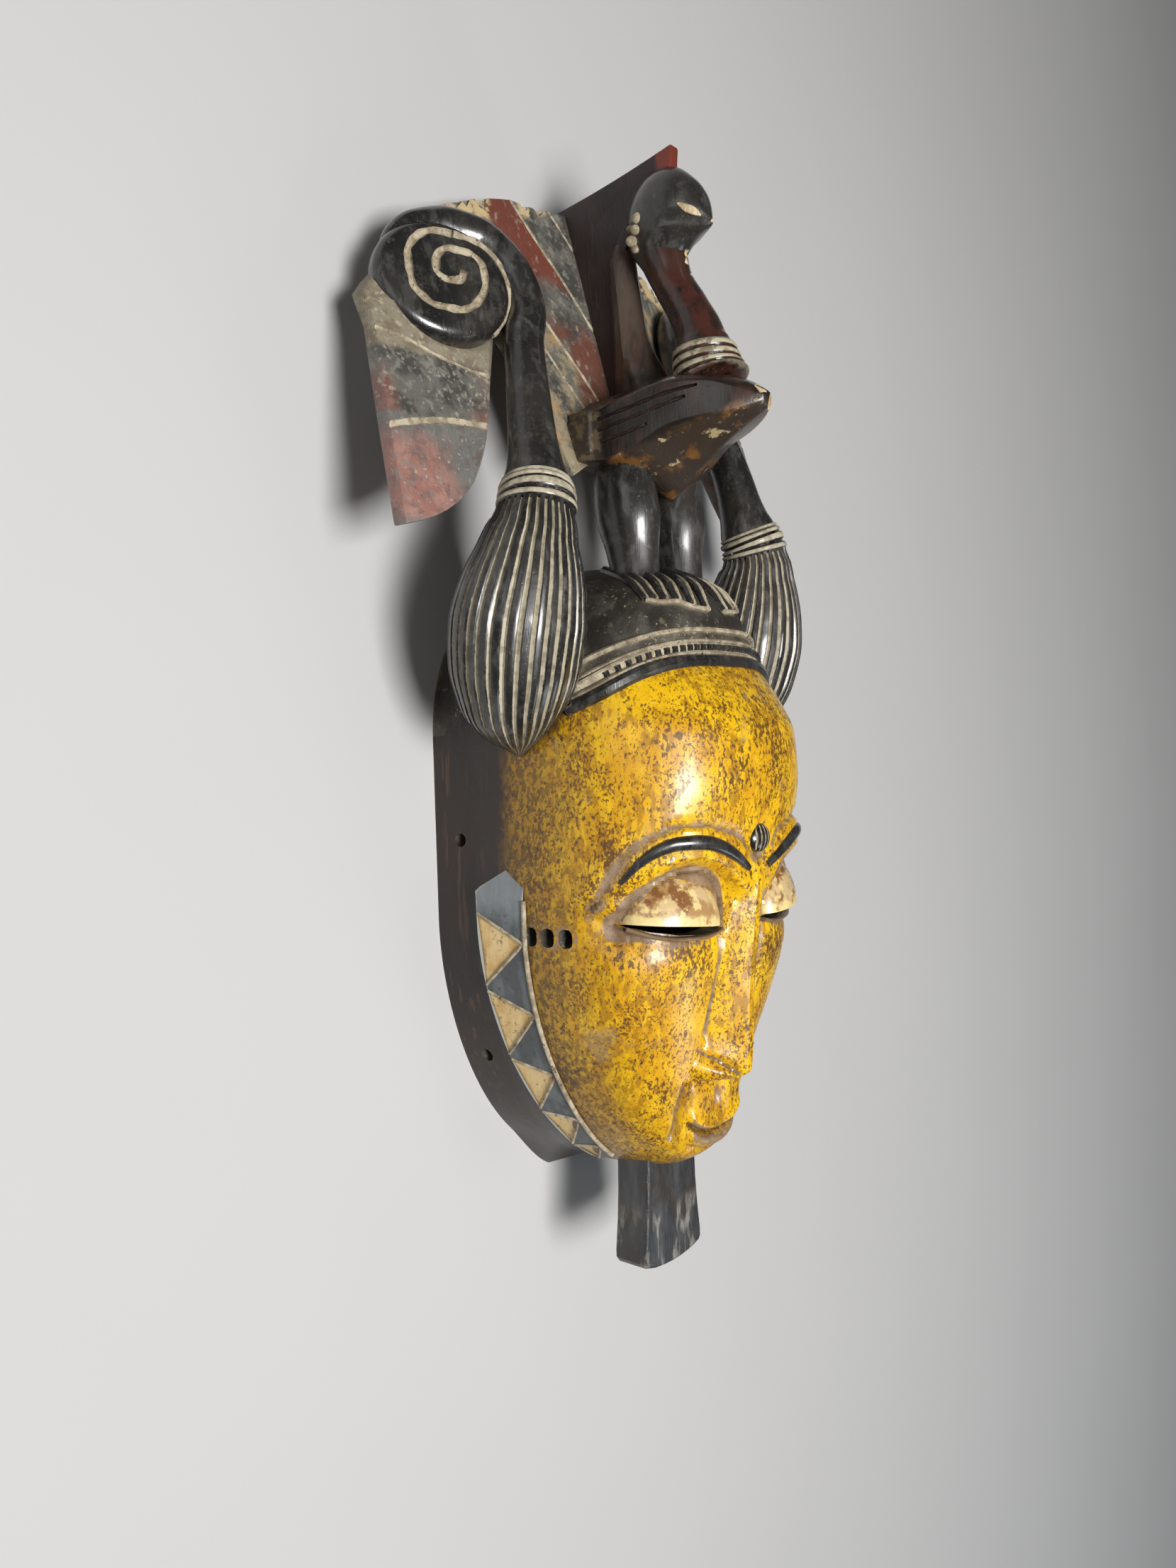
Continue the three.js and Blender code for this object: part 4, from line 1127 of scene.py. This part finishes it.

# %% Shared group: worn edges, and hollows for dust and painted shade
wear_and_shade, start, end = shared_group("wear_and_shade", {"Reach": 0.002, "Seed": 0.0}, ["Edge", "Hollow"])
inner = put(wear_and_shade, "AmbientOcclusion", {"Distance": start["Reach"]}, samples=6, inside=True).outputs["AO"]
outer = put(wear_and_shade, "AmbientOcclusion", {"Distance": maths(wear_and_shade, "MULTIPLY", start["Reach"], 2.0)},
            samples=6).outputs["AO"]
rub = maths(wear_and_shade, "MULTIPLY", maths(wear_and_shade, "SUBTRACT", smudge(wear_and_shade, start["Seed"], 260.0, 4.0), 0.5), 0.7)
for output, seen, start_at, full_at in (("Edge", inner, 0.42, 0.75), ("Hollow", outer, 0.25, 0.7)):
    hidden = maths(wear_and_shade, "ADD", maths(wear_and_shade, "SUBTRACT", 1.0, seen), rub)
    wear_and_shade.links.new(ramp(wear_and_shade, hidden, start_at, full_at), end[output])

# %% Shared group: knife marks
knife, start, end = shared_group(
    "knife_marks", {"Facets": 0.6, "Grain": 0.4, "Pits": 0.3, "Seed": 0.0}, ["Height"])
facets = smudge(knife, start["Seed"], 95.0, 1.0)
grain = smudge(knife, maths(knife, "ADD", start["Seed"], 3.0), 900.0, 3.0, 9.0)
pits = ramp(knife, smudge(knife, maths(knife, "ADD", start["Seed"], 5.0), 700.0, 2.0), 0.62, 0.75)
height = maths(knife, "ADD", maths(knife, "MULTIPLY", facets, start["Facets"]),
               maths(knife, "MULTIPLY", grain, start["Grain"]))
height = maths(knife, "SUBTRACT", height, maths(knife, "MULTIPLY", pits, start["Pits"]))
knife.links.new(height, end["Height"])
print("shared groups:", [group.name for group in bpy.data.node_groups])

# %% [markdown]
# ## Painting in layers
# Each finish starts with a ground colour and a gloss. Further paints go on through masks, in the
# order in which they came to the real surface: paint, rubbing, clay and dust. Painted shade in
# the hollows goes on among them.

# %% Painting helpers
class Surface:
    """One finish on the bench: a colour, a roughness and a height, built up layer by layer."""

    def __init__(self, finish, ground, rough):
        self.tree = finish.node_tree
        self.shader = self.tree.nodes["Principled BSDF"]
        self.colour = put(self.tree, "RGB").outputs[0]
        self.colour.default_value = (*ground, 1)
        self.rough = rough
        self.height = None

    def mask(self, group, output="Mask", **values):
        """Places a shared group with its own values, and gives one of its outputs."""
        made = self.tree.nodes.new("ShaderNodeGroup")
        made.node_tree = group
        for name, value in values.items():
            socket = made.inputs[name.replace("_", " ")]
            if isinstance(value, bpy.types.NodeSocket):
                self.tree.links.new(value, socket)
            else:
                socket.default_value = value
        return made.outputs[output]

    def spots(self, scale, cut, soft, seed=0.0, stretch=1.0, detail=3.0, cluster=0.0, cluster_scale=40.0):
        """Speckles where a noise passes the cut, drawn out up the face by the stretch."""
        return self.mask(speckles, Scale=scale, Cut=cut, Soft=soft, Seed=seed, Stretch=stretch,
                         Detail=detail, Cluster=cluster, Cluster_Scale=cluster_scale)

    def limit(self, position, start, end, wobble=0.0, seed=0.0, scale=120.0):
        """Nought at the start and one at the end of a way, or of an axis given by its letter."""
        if isinstance(position, str):
            position = self.along(position)
        return self.mask(paint_limit, Position=position, Start=start, End=end, Wobble=wobble, Seed=seed,
                         Scale=scale)

    def worn(self, where, reach, seed):
        """Rubbed edges ("Edge") or hollows ("Hollow"), as wide as the reach; the hollows take dust on some
        finishes and painted shade on others.
        """
        return self.mask(wear_and_shade, where, Reach=reach, Seed=seed)

    def noted(self, name):
        """A number that was written into the mesh."""
        return put(self.tree, "Attribute", attribute_name=name).outputs["Fac"]

    def along(self, axis):
        """The place along one axis of the mask, in metres."""
        place = put(self.tree, "TexCoord").outputs["Object"]
        return put(self.tree, "SeparateXYZ", {"Vector": place}).outputs[axis]

    def slanted(self, way, other, share):
        """A way across the mask with a share of another way added."""
        return maths(self.tree, "ADD", way, maths(self.tree, "MULTIPLY", other, share))

    def paint(self, colour, mask, rough=None, strength=1.0):
        """Lays a paint on through a mask, with its own roughness."""
        if strength != 1.0:
            mask = maths(self.tree, "MULTIPLY", mask, strength)
        mixer = put(self.tree, "Mix", {0: mask, 6: self.colour}, data_type="RGBA")
        mixer.inputs[7].default_value = (*colour, 1)
        self.colour = mixer.outputs[2]
        if rough is not None:
            blend = put(self.tree, "Mix", {0: mask, 2: self.rough, 3: rough}, data_type="FLOAT")
            self.rough = blend.outputs[0]

    def knife_cuts(self, facets, grain, pits, seed):
        self.raise_by(self.mask(knife, "Height", Facets=facets, Grain=grain, Pits=pits, Seed=seed), 1.0)

    def raise_by(self, mask, amount):
        step = maths(self.tree, "MULTIPLY", mask, amount)
        self.height = step if self.height is None else maths(self.tree, "ADD", self.height, step)

    def finish(self, depth=0.0004, coat=0.0):
        """Joins what was built up to the shader; depth is the bump's, in metres."""
        self.tree.links.new(self.colour, self.shader.inputs["Base Color"])
        if isinstance(self.rough, bpy.types.NodeSocket):
            self.tree.links.new(self.rough, self.shader.inputs["Roughness"])
        else:
            self.shader.inputs["Roughness"].default_value = self.rough
        self.shader.inputs["Coat Weight"].default_value = coat
        self.shader.inputs["Coat Roughness"].default_value = 0.12
        if self.height is not None:
            carved = put(self.tree, "Bump", {"Height": self.height, "Distance": depth, "Strength": 1.0})
            self.tree.links.new(carved.outputs[0], self.shader.inputs["Normal"])


def both(surface, first, *others):
    """Only where all the masks are."""
    for mask_here in others:
        first = maths(surface.tree, "MULTIPLY", first, mask_here)
    return first


def less(surface, a, b):
    """Where the first mask is and the second is not."""
    return maths(surface.tree, "SUBTRACT", a, b, clamp=True)


# %% [markdown]
# ## Ochre face
# Yellow earth paint under varnish, rubbed until dark specks show through all over. In the creases
# it is worn to a grey brown, and down the side walls it gives way to dark wood. The hollows under
# the nose, round the eyes and in the grooves are darkened with painted shade.

# %% Ochre
s = Surface(ochre, (0.78, 0.45, 0.005), 0.31)
s.paint((0.6, 0.3, 0.004), s.spots(45, 0.5, 0.12, 1.0, 1.7), 0.38)
s.paint((0.88, 0.56, 0.02), s.spots(210, 0.57, 0.09, 2.0, 2.2), strength=0.5)
side_grime = s.limit("Z", 0.086, 0.042, 0.034, 11, 38)
s.paint((0.2, 0.1, 0.004), side_grime, 0.42, 0.78)
s.paint((0.3, 0.13, 0.005), s.spots(330, 0.54, 0.06, 3.0, 2.2, cluster=0.35, cluster_scale=38), 0.4, 0.7)
dark_specks = s.spots(640, 0.587, 0.03, 4.0, 1.5, 5, 0.5, 55)
s.paint((0.075, 0.03, 0.007), dark_specks, 0.42, 0.85)
finest_specks = s.spots(1050, 0.575, 0.03, 15.0, 1.3, cluster=0.45, cluster_scale=70)
s.paint((0.1, 0.04, 0.007), finest_specks, 0.42, 0.85)
s.paint((0.045, 0.024, 0.007), both(s, side_grime, s.spots(560, 0.51, 0.04, 5.0, 1.6)), 0.45, 0.7)
grey_smears = s.spots(64, 0.645, 0.06, 6.0, 1.2, 6)
s.paint((0.22, 0.155, 0.1), grey_smears, 0.45, 0.5)
crease = s.noted("clay")
patchy = s.spots(190, 0.5, 0.12, 8.0, detail=5)
worn = s.limit(crease, 0.22, 0.72, 0.55, 9, 360)
s.paint((0.155, 0.092, 0.05), worn, 0.45, 0.88)
s.paint((0.36, 0.26, 0.175), both(s, worn, patchy), 0.5, 0.6)
# Painted shade: the hollows under the nose, round the eyes and in the grooves are darkened.
s.paint((0.05, 0.026, 0.012), s.worn("Hollow", 0.002, 2), 0.5, 0.7)
wall = s.limit("Z", 0.043, 0.03, 0.022, 12, 60)
s.paint((0.015, 0.0065, 0.003), wall, 0.4)
s.paint((0.007, 0.0035, 0.002), both(s, wall, s.spots(50, 0.5, 0.1, 13, 3)), 0.38)
scratch = s.spots(420, 0.62, 0.05, 14, 14, 2)
s.paint((0.075, 0.038, 0.013), both(s, wall, scratch), 0.5, 0.7)
edge = s.worn("Edge", 0.0016, 4)
s.paint((0.14, 0.085, 0.045), both(s, edge, wall), 0.55, 0.45)
s.knife_cuts(0.8, 0.12, 0.16, 1)
s.raise_by(dark_specks, -0.12)
s.finish(0.00035, coat=0.22)

# %% [markdown]
# ## Black lacquer with clay in the cuts
# The tresses, legs and brows are a black that has gone brown and grey where hands rubbed it. The
# clay lies in the grooves and has worn away along their rims.

# %% Lacquer
def dark_coat(finish, ground, brown, rub, rough, seed, coat=0.2, dust=0.35):
    s = Surface(finish, ground, rough)
    s.paint(brown, s.spots(60, 0.52, 0.12, seed, 2.5), rough + 0.08)
    s.paint(rub, s.spots(210, 0.56, 0.08, seed + 6, 1.6, 5, 0.3), rough + 0.15, 0.3)
    s.paint(rub, s.spots(300, 0.66, 0.06, seed + 1, 3, cluster=0.3), rough + 0.2, 0.5)
    s.paint(rub, s.worn("Edge", 0.0013, seed), rough + 0.15, 0.55)
    hollow_here = s.worn("Hollow", 0.0018, seed + 2)
    crumbs = s.spots(800, 0.6, 0.04, seed + 3, cluster=0.4, cluster_scale=90)
    s.paint((0.34, 0.27, 0.17), both(s, hollow_here, crumbs), 0.8, dust * 1.6)
    s.paint((0.22, 0.19, 0.14), crumbs, 0.7, dust * 0.22)
    clay = s.limit(s.noted("clay"), 0.3, 0.5, 0.45, seed + 4, 460)
    s.paint((0.45, 0.4, 0.29), clay, 0.8)
    s.paint((0.19, 0.155, 0.105), both(s, clay, s.spots(260, 0.54, 0.1, seed + 5)), 0.8, 0.7)
    s.knife_cuts(0.8, 0.3, 0.2, seed)
    s.raise_by(clay, 0.15)
    s.finish(0.0003, coat)
    return s


dark_coat(lacquer, (0.011, 0.0105, 0.0095), (0.025, 0.022, 0.019), (0.11, 0.105, 0.095), 0.26, 20, 0.45)

s = Surface(crest_brown, (0.013, 0.008, 0.007), 0.5)
s.paint((0.026, 0.013, 0.011), s.spots(55, 0.5, 0.1, 42, 3), 0.48)
s.paint((0.06, 0.045, 0.036), s.spots(300, 0.63, 0.05, 43, 5), 0.6, 0.6)
red_tip = both(s, s.limit("Z", 0.0665, 0.0695, 0.004, 44, 200), s.limit("Y", 0.19, 0.196, 0.01, 45))
s.paint((0.16, 0.03, 0.016), red_tip, 0.45, 0.95)
s.paint((0.1, 0.08, 0.06), s.worn("Edge", 0.0014, 46), 0.6, 0.5)
s.knife_cuts(1.0, 0.6, 0.3, 16)
s.finish(0.0004)

# %% Clay in the cuts and on the rings
s = Surface(clay_fill, (0.45, 0.385, 0.27), 0.8)
s.paint((0.19, 0.145, 0.09), s.spots(230, 0.5, 0.1, 50, detail=4), 0.8, 0.8)
s.paint((0.035, 0.026, 0.018), s.spots(520, 0.63, 0.04, 51, cluster=0.4), 0.5, 0.85)
s.paint((0.58, 0.52, 0.4), s.spots(700, 0.64, 0.05, 52), 0.85, 0.6)
s.knife_cuts(1.0, 0.6, 0.6, 5)
s.finish(0.0006)

# %% [markdown]
# ## Hair, bird and bare breaks
# The hair between the tresses is dull and dusty. The bird is a red brown under black, polished on
# the breast and caked with clay and orange earth under it.

# %% Hair
s = Surface(hair_dark, (0.038, 0.034, 0.026), 0.5)
s.paint((0.085, 0.08, 0.062), s.spots(110, 0.5, 0.1, 59, detail=5), 0.6, 0.7)
s.paint((0.022, 0.018, 0.013), s.spots(70, 0.5, 0.12, 60), 0.5)
s.paint((0.16, 0.125, 0.08), s.spots(190, 0.63, 0.05, 61, 1.4, 5), 0.7, 0.7)
s.paint((0.3, 0.25, 0.17), s.spots(640, 0.67, 0.03, 62, cluster=0.5), 0.8, 0.8)
s.paint((0.3, 0.24, 0.15), s.worn("Hollow", 0.0022, 6), 0.8, 0.7)
s.knife_cuts(1.0, 0.5, 0.4, 6)
s.finish(0.0005)

# %% Bird
s = Surface(bird_brown, (0.014, 0.01, 0.007), 0.27)
s.paint((0.05, 0.021, 0.013), s.spots(55, 0.53, 0.09, 70, 1.6), 0.32)
upper_part = s.limit("Y", 0.124, 0.129, 0.008, 69)
s.paint((0.06, 0.018, 0.012), both(s, upper_part, s.spots(75, 0.5, 0.08, 68)), 0.3)
s.paint((0.012, 0.009, 0.007), s.spots(150, 0.53, 0.06, 71, 3), 0.25, 0.85)
post_light = both(s, s.limit("Z", 0.066, 0.06, 0.004, 66), s.limit("Y", 0.132, 0.136, 0.006, 67))
s.paint((0.085, 0.06, 0.042), both(s, post_light, s.spots(70, 0.47, 0.09, 65, 4, 4)), 0.4, 0.85)
s.paint((0.17, 0.125, 0.085), s.worn("Edge", 0.002, 72), 0.45, 0.5)
up_way, out_way = s.along("Y"), s.along("Z")
keel_line = s.slanted(up_way, out_way, -0.34)
under = both(s, s.limit(keel_line, 0.0775, 0.075, 0.004, 73, 110), s.limit(out_way, 0.056, 0.062, 0.004, 74))
s.paint((0.034, 0.022, 0.015), under, 0.4, 0.9)
s.paint((0.17, 0.07, 0.012), both(s, under, s.spots(75, 0.56, 0.05, 75, detail=6)), 0.5, 0.85)
cake = s.spots(130, 0.62, 0.02, 76, detail=7)
s.paint((0.38, 0.29, 0.14), both(s, under, cake), 0.8, 0.95)
crumbs = s.spots(480, 0.68, 0.02, 77, cluster=0.6)
s.paint((0.3, 0.24, 0.14), both(s, under, crumbs), 0.8, 0.5)
stern_dirt = both(s, s.limit(out_way, 0.06, 0.056, 0.004, 78, 160),
                  s.limit(up_way, 0.096, 0.099, 0.004, 83, 160), s.limit(up_way, 0.128, 0.122, seed=84))
s.paint((0.03, 0.02, 0.012), stern_dirt, 0.7, 0.8)
s.paint((0.1, 0.068, 0.032), both(s, stern_dirt, s.spots(260, 0.5, 0.08, 79, detail=5)), 0.8)
s.paint((0.34, 0.27, 0.16), both(s, s.worn("Hollow", 0.0018, 80), s.spots(500, 0.58, 0.05, 81)), 0.8, 0.14)
ring_mark = s.limit(s.noted("clay"), 0.3, 0.55, 0.5, 82, 300)
s.paint((0.42, 0.37, 0.25), ring_mark, 0.8)
s.paint((0.12, 0.09, 0.055), both(s, ring_mark, s.spots(260, 0.54, 0.06, 85)), 0.8, 0.8)
s.knife_cuts(1.0, 0.3, 0.2, 8)
s.raise_by(both(s, under, cake), 0.8)
s.finish(0.0004, coat=0.3)

# %% Bare wood in the breaks and inside
s = Surface(raw_wood, (0.6, 0.49, 0.31), 0.75)
s.paint((0.36, 0.25, 0.13), s.spots(300, 0.52, 0.1, 90, 5), 0.8, 0.8)
s.paint((0.1, 0.065, 0.035), s.spots(620, 0.66, 0.04, 91), 0.8, 0.8)
s.knife_cuts(1.0, 1.0, 0.6, 9)
s.finish(0.0008)
s = Surface(inside_wood, (0.13, 0.072, 0.035), 0.55)
s.paint((0.06, 0.032, 0.016), s.spots(60, 0.5, 0.12, 95, 3), 0.45)
s.paint((0.22, 0.14, 0.075), s.spots(260, 0.6, 0.08, 96, 8), 0.6, 0.6)
s.paint((0.02, 0.013, 0.008), s.spots(90, 0.62, 0.08, 97), 0.35, 0.7)
s.knife_cuts(2.4, 0.5, 0.3, 10)
s.finish(0.0012)

# %% [markdown]
# ## Collar, lids and peg
# The collar's dark triangles are a slate grey with scuffed edges, painted a lighter grey towards
# the top end as if lit there, and the pale ones a cream that is stained orange at their middles.
# The hollows of both, and those of the lids, are darkened with painted shade. The lids are a
# polished brown cream, and the peg is grey slate with white scrapes near its end.

# %% Collar paints
s = Surface(slate, (0.06, 0.066, 0.068), 0.36)
s.paint((0.13, 0.142, 0.145), s.spots(120, 0.54, 0.1, 100, 2), 0.45, 0.8)
s.paint((0.03, 0.03, 0.029), s.spots(380, 0.6, 0.06, 101, detail=5), 0.5, 0.6)
# Painted light: the collar's top end is painted a lighter grey, as if lit.
s.paint((0.27, 0.29, 0.3), s.limit("Y", -0.078, -0.066, 0.012, 102), 0.45, 0.55)
s.paint((0.5, 0.5, 0.46), s.worn("Edge", 0.0014, 103), 0.6, 0.8)
# Painted shade: the hollows of the collar's slate triangles are darkened.
s.paint((0.025, 0.02, 0.016), s.worn("Hollow", 0.0016, 104), 0.6, 0.6)
s.knife_cuts(1.0, 0.4, 0.3, 11)
s.finish(0.0004)
s = Surface(cream, (0.62, 0.46, 0.22), 0.6)
s.paint((0.47, 0.26, 0.07), s.spots(110, 0.53, 0.09, 110, 1.5), 0.55, 0.7)
s.paint((0.16, 0.085, 0.035), s.spots(420, 0.61, 0.05, 111, detail=4), 0.6, 0.75)
s.paint((0.72, 0.62, 0.42), s.worn("Edge", 0.0016, 112), 0.65, 0.6)
# Painted shade: the hollows of the pale triangles are darkened.
s.paint((0.1, 0.06, 0.03), s.worn("Hollow", 0.0014, 113), 0.7, 0.5)
s.knife_cuts(1.0, 0.5, 0.4, 12)
s.finish(0.0004)

# %% Lids
s = Surface(lid_paint, (0.4, 0.235, 0.095), 0.3)
s.paint((0.6, 0.44, 0.22), s.spots(95, 0.5, 0.06, 120, detail=5), 0.3)
s.paint((0.19, 0.068, 0.014), s.spots(110, 0.54, 0.04, 121, detail=6), 0.32, 0.9)
s.paint((0.82, 0.63, 0.27), s.spots(240, 0.575, 0.04, 122, detail=5), 0.35, 0.8)
lid_level = s.slanted(s.along("Y"), maths(s.tree, "ABSOLUTE", s.along("X")), -0.1)
lid_low = both(s, s.limit(lid_level, -0.0755, -0.0777, 0.004, 125, 200),
               s.limit(lid_level, -0.0807, -0.0803, seed=126))
s.paint((0.84, 0.66, 0.28), both(s, lid_low, s.spots(260, 0.42, 0.08, 128)), 0.4, 0.8)
s.paint((0.155, 0.098, 0.058), s.limit(lid_level, -0.0803, -0.0807, seed=127), 0.45, 0.9)
# Painted shade: the hollows of the lids are darkened to a dark brown.
s.paint((0.17, 0.115, 0.07), s.worn("Hollow", 0.003, 124), 0.45, 0.85)
s.paint((0.85, 0.7, 0.34), both(s, s.worn("Edge", 0.0018, 123), lid_low), 0.4, 0.8)
s.knife_cuts(1.0, 0.15, 0.15, 13)
s.finish(0.0003, coat=0.4)

# %% Peg
s = Surface(peg_slate, (0.028, 0.028, 0.029), 0.36)
s.paint((0.06, 0.06, 0.06), s.spots(160, 0.54, 0.1, 130, 4), 0.45, 0.8)
s.paint((0.035, 0.022, 0.013), s.spots(70, 0.56, 0.1, 131), 0.42, 0.7)
low_end = s.limit("Y", -0.19, -0.204, 0.016, 132, 140)
scrape = s.spots(190, 0.53, 0.05, 133, 3.5, 5)
s.paint((0.33, 0.31, 0.26), both(s, low_end, scrape), 0.7, 0.6)
s.paint((0.24, 0.23, 0.2), s.worn("Edge", 0.002, 134), 0.55, 0.55)
s.knife_cuts(1.2, 0.6, 0.3, 14)
s.finish(0.0005, coat=0.1)

# %% [markdown]
# ## Painted wings
# The wings were painted in fields between the cut lines: grey black, red and pale clay, now all
# rubbed into each other. The fields follow height and distance from the middle. Lighter blots on
# the pink field are a painted highlight, and the hollows are darkened with painted shade.

# %% Wing paint
s = Surface(wing_paint, (0.13, 0.125, 0.105), 0.42)
side_way = maths(s.tree, "ABSOLUTE", s.along("X"))
up_way = s.along("Y")


def field(position, start, end, wobble=0.006, scale=150, seed=0):
    return s.limit(position, start, end, wobble, seed, scale)


def blots(scale, cut, soft, seed, detail=5, stretch=1.0):
    return s.spots(scale, cut, soft, seed, stretch, detail)


s.paint((0.045, 0.042, 0.036), blots(90, 0.5, 0.08, 140), 0.38, 0.8)
s.paint((0.25, 0.24, 0.2), blots(300, 0.58, 0.06, 139), 0.5, 0.6)
lobe = field(side_way, 0.058, 0.062, 0.004, seed=141)
low_lobe = both(s, lobe, field(up_way, 0.1038, 0.1018, 0.0015, seed=142))
pink = both(s, low_lobe, field(side_way, 0.088, 0.106, 0.024, 60, 143),
            field(up_way, 0.062, 0.07, 0.014, 80, 138), field(up_way, 0.099, 0.088, 0.016, 70, 157))
s.paint((0.17, 0.165, 0.15), low_lobe, 0.42, 0.7)
s.paint((0.3, 0.125, 0.095), pink, 0.4, 0.8)
# Painted highlight: lighter blots on the pink field stand in for the light on it.
s.paint((0.44, 0.24, 0.19), both(s, pink, blots(120, 0.52, 0.09, 144)), 0.45, 0.5)
s.paint((0.21, 0.19, 0.17), both(s, pink, blots(330, 0.55, 0.06, 161)), 0.45, 0.6)
s.paint((0.13, 0.085, 0.075), both(s, low_lobe, blots(210, 0.56, 0.07, 137, 6)), 0.45, 0.6)
s.paint((0.42, 0.4, 0.34), both(s, low_lobe, blots(520, 0.63, 0.04, 136)), 0.6, 0.6)
mid_lobe = both(s, lobe, field(up_way, 0.1255, 0.1285, 0.003, seed=146))
s.paint((0.27, 0.23, 0.16), mid_lobe, 0.7, 0.85)
s.paint((0.15, 0.12, 0.075), both(s, mid_lobe, blots(150, 0.5, 0.07, 147, 6)), 0.7, 0.75)
s.paint((0.5, 0.43, 0.29), both(s, mid_lobe, blots(420, 0.6, 0.05, 135)), 0.7, 0.6)
patch = less(s, less(s, lobe, low_lobe), mid_lobe)
outer_red = both(s, patch, field(side_way, 0.109, 0.1155, 0.008, seed=148),
                 field(up_way, 0.122, 0.112, 0.012, 90, 163))
inner_red = both(s, patch, field(up_way, 0.1125, 0.106, 0.01, 90, 149),
                 field(side_way, 0.084, 0.074, 0.016, 90, 150))
s.paint((0.24, 0.085, 0.065), outer_red, 0.42, 0.6)
s.paint((0.21, 0.1, 0.08), inner_red, 0.42, 0.6)
s.paint((0.25, 0.17, 0.14), both(s, patch, field(side_way, 0.078, 0.068, 0.012, 90, 134)), 0.45, 0.6)
s.paint((0.38, 0.35, 0.27), both(s, patch, s.spots(420, 0.61, 0.05, 151, detail=5, cluster=0.3)), 0.6, 0.7)
top_field = less(s, 1.0, lobe)
slant = s.slanted(side_way, up_way, -0.626)
inside_long_cut = field(slant, -0.0958, -0.0945, 0.001, seed=153)
top_red = both(s, field(up_way, 0.168, 0.178, 0.012, 90, 152), inside_long_cut,
               field(slant, -0.07, -0.077, 0.008, 100, 133))
s.paint((0.17, 0.045, 0.028), top_red, 0.38, 0.92)
between = both(s, top_field, inside_long_cut, field(slant, -0.0675, -0.0685, 0.001, seed=132))
between_red = both(s, between, field(up_way, 0.162, 0.15, 0.014, 80, 131), blots(70, 0.47, 0.08, 130))
s.paint((0.15, 0.05, 0.032), between_red, 0.42, 0.85)
inner_low = both(s, top_field, field(slant, -0.0695, -0.0675, 0.003, 90, 154))
s.paint((0.3, 0.235, 0.14), both(s, inner_low, blots(120, 0.51, 0.06, 155, 6)), 0.65, 0.8)
s.paint((0.4, 0.22, 0.08), both(s, inner_low, blots(140, 0.58, 0.04, 129, 6)), 0.6, 0.7)
s.paint((0.16, 0.05, 0.03), both(s, inner_low, field(side_way, 0.022, 0.017, 0.008, seed=156)), 0.45, 0.7)
s.paint((0.34, 0.3, 0.21), both(s, top_field, blots(360, 0.62, 0.05, 128, 5, 2.0)), 0.6, 0.6)
outer_chips = both(s, field(side_way, 0.044, 0.047, seed=127), field(side_way, 0.07, 0.067, seed=126))
inner_chips = both(s, field(side_way, 0.013, 0.016, seed=125), field(side_way, 0.031, 0.028, seed=124))
chipped = both(s, maths(s.tree, "ADD", outer_chips, inner_chips),
               field(s.slanted(up_way, side_way, 0.364), 0.2085, 0.2115, 0.006, 110, 159),
               blots(150, 0.47, 0.03, 158, 7))
s.paint((0.56, 0.42, 0.22), chipped, 0.7, 0.95)
s.paint((0.42, 0.36, 0.26), s.worn("Edge", 0.0018, 160), 0.6, 0.7)
# Painted shade: the hollows of the wings are darkened.
s.paint((0.1, 0.075, 0.05), s.worn("Hollow", 0.003, 162), 0.7, 0.7)
s.knife_cuts(1.2, 0.5, 0.5, 15)
s.finish(0.0006, coat=0.12)

# %% The piece stands for the solid
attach(mask, "root")
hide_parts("mask")

# %% [markdown]
# ## Camera, floor and light
# The camera stands where the photographer stood: fifty degrees to one side of the face, turned a
# little on its own axis. The floor is plain and pale, and three soft lamps and an even glow from all
# round light the mask.

# %% Camera
yaw, pitch, roll = math.radians(50), math.radians(1.56), math.radians(1.7)
ahead = Vector((math.sin(yaw) * math.cos(pitch), -math.sin(pitch), -math.cos(yaw) * math.cos(pitch)))
level = Vector((math.cos(yaw), 0, math.sin(yaw)))
above = level.cross(ahead)
right = level * math.cos(roll) - above * math.sin(roll)
top = level * math.sin(roll) + above * math.cos(roll)
bpy.ops.object.camera_add(location=(-0.3830, -0.0130, 0.3434))
camera = bpy.context.object
camera.rotation_euler = Matrix((right, top, -ahead)).transposed().to_euler()
camera.data.lens = 27.41
camera.data.sensor_width = 36
bpy.context.scene.camera = camera

# %% Floor and lights
bpy.ops.object.select_all(action="DESELECT")
bpy.ops.mesh.primitive_plane_add(size=14)
floor = bpy.context.object
floor.name = "floor"
floor_finish = new_finish("floor_grey")
s = Surface(floor_finish, (0.52, 0.51, 0.50), 0.9)
s.paint((0.48, 0.47, 0.46), s.spots(3, 0.5, 0.3, 200), strength=0.5)
s.finish()
floor.data.materials.append(floor_finish)


def area_light(name, place, aim, size, power, colour=(1, 1, 1)):
    bpy.ops.object.light_add(type="AREA", location=place)
    lamp = bpy.context.object
    lamp.name = name
    lamp.data.size = size
    lamp.data.energy = power
    lamp.data.color = colour
    lamp.rotation_euler = (Vector(aim) - Vector(place)).to_track_quat("-Z", "Y").to_euler()


area_light("key", (-0.42, -0.16, 1.35), (0, -0.02, 0.06), 0.5, 25)
area_light("low_fill", (0.75, -1.05, 1.0), (0, 0, 0.05), 0.45, 2.4, (0.8, 0.9, 1.0))
area_light("side_fill", (-1.5, 0.5, 0.75), (0, 0, 0.05), 0.9, 3)
world = bpy.data.worlds.new("soft_room")
world.use_nodes = True
world.node_tree.nodes["Background"].inputs["Color"].default_value = (0.9, 0.92, 0.95, 1)
world.node_tree.nodes["Background"].inputs["Strength"].default_value = 0.09
bpy.context.scene.world = world
bpy.context.scene.view_settings.view_transform = "Standard"
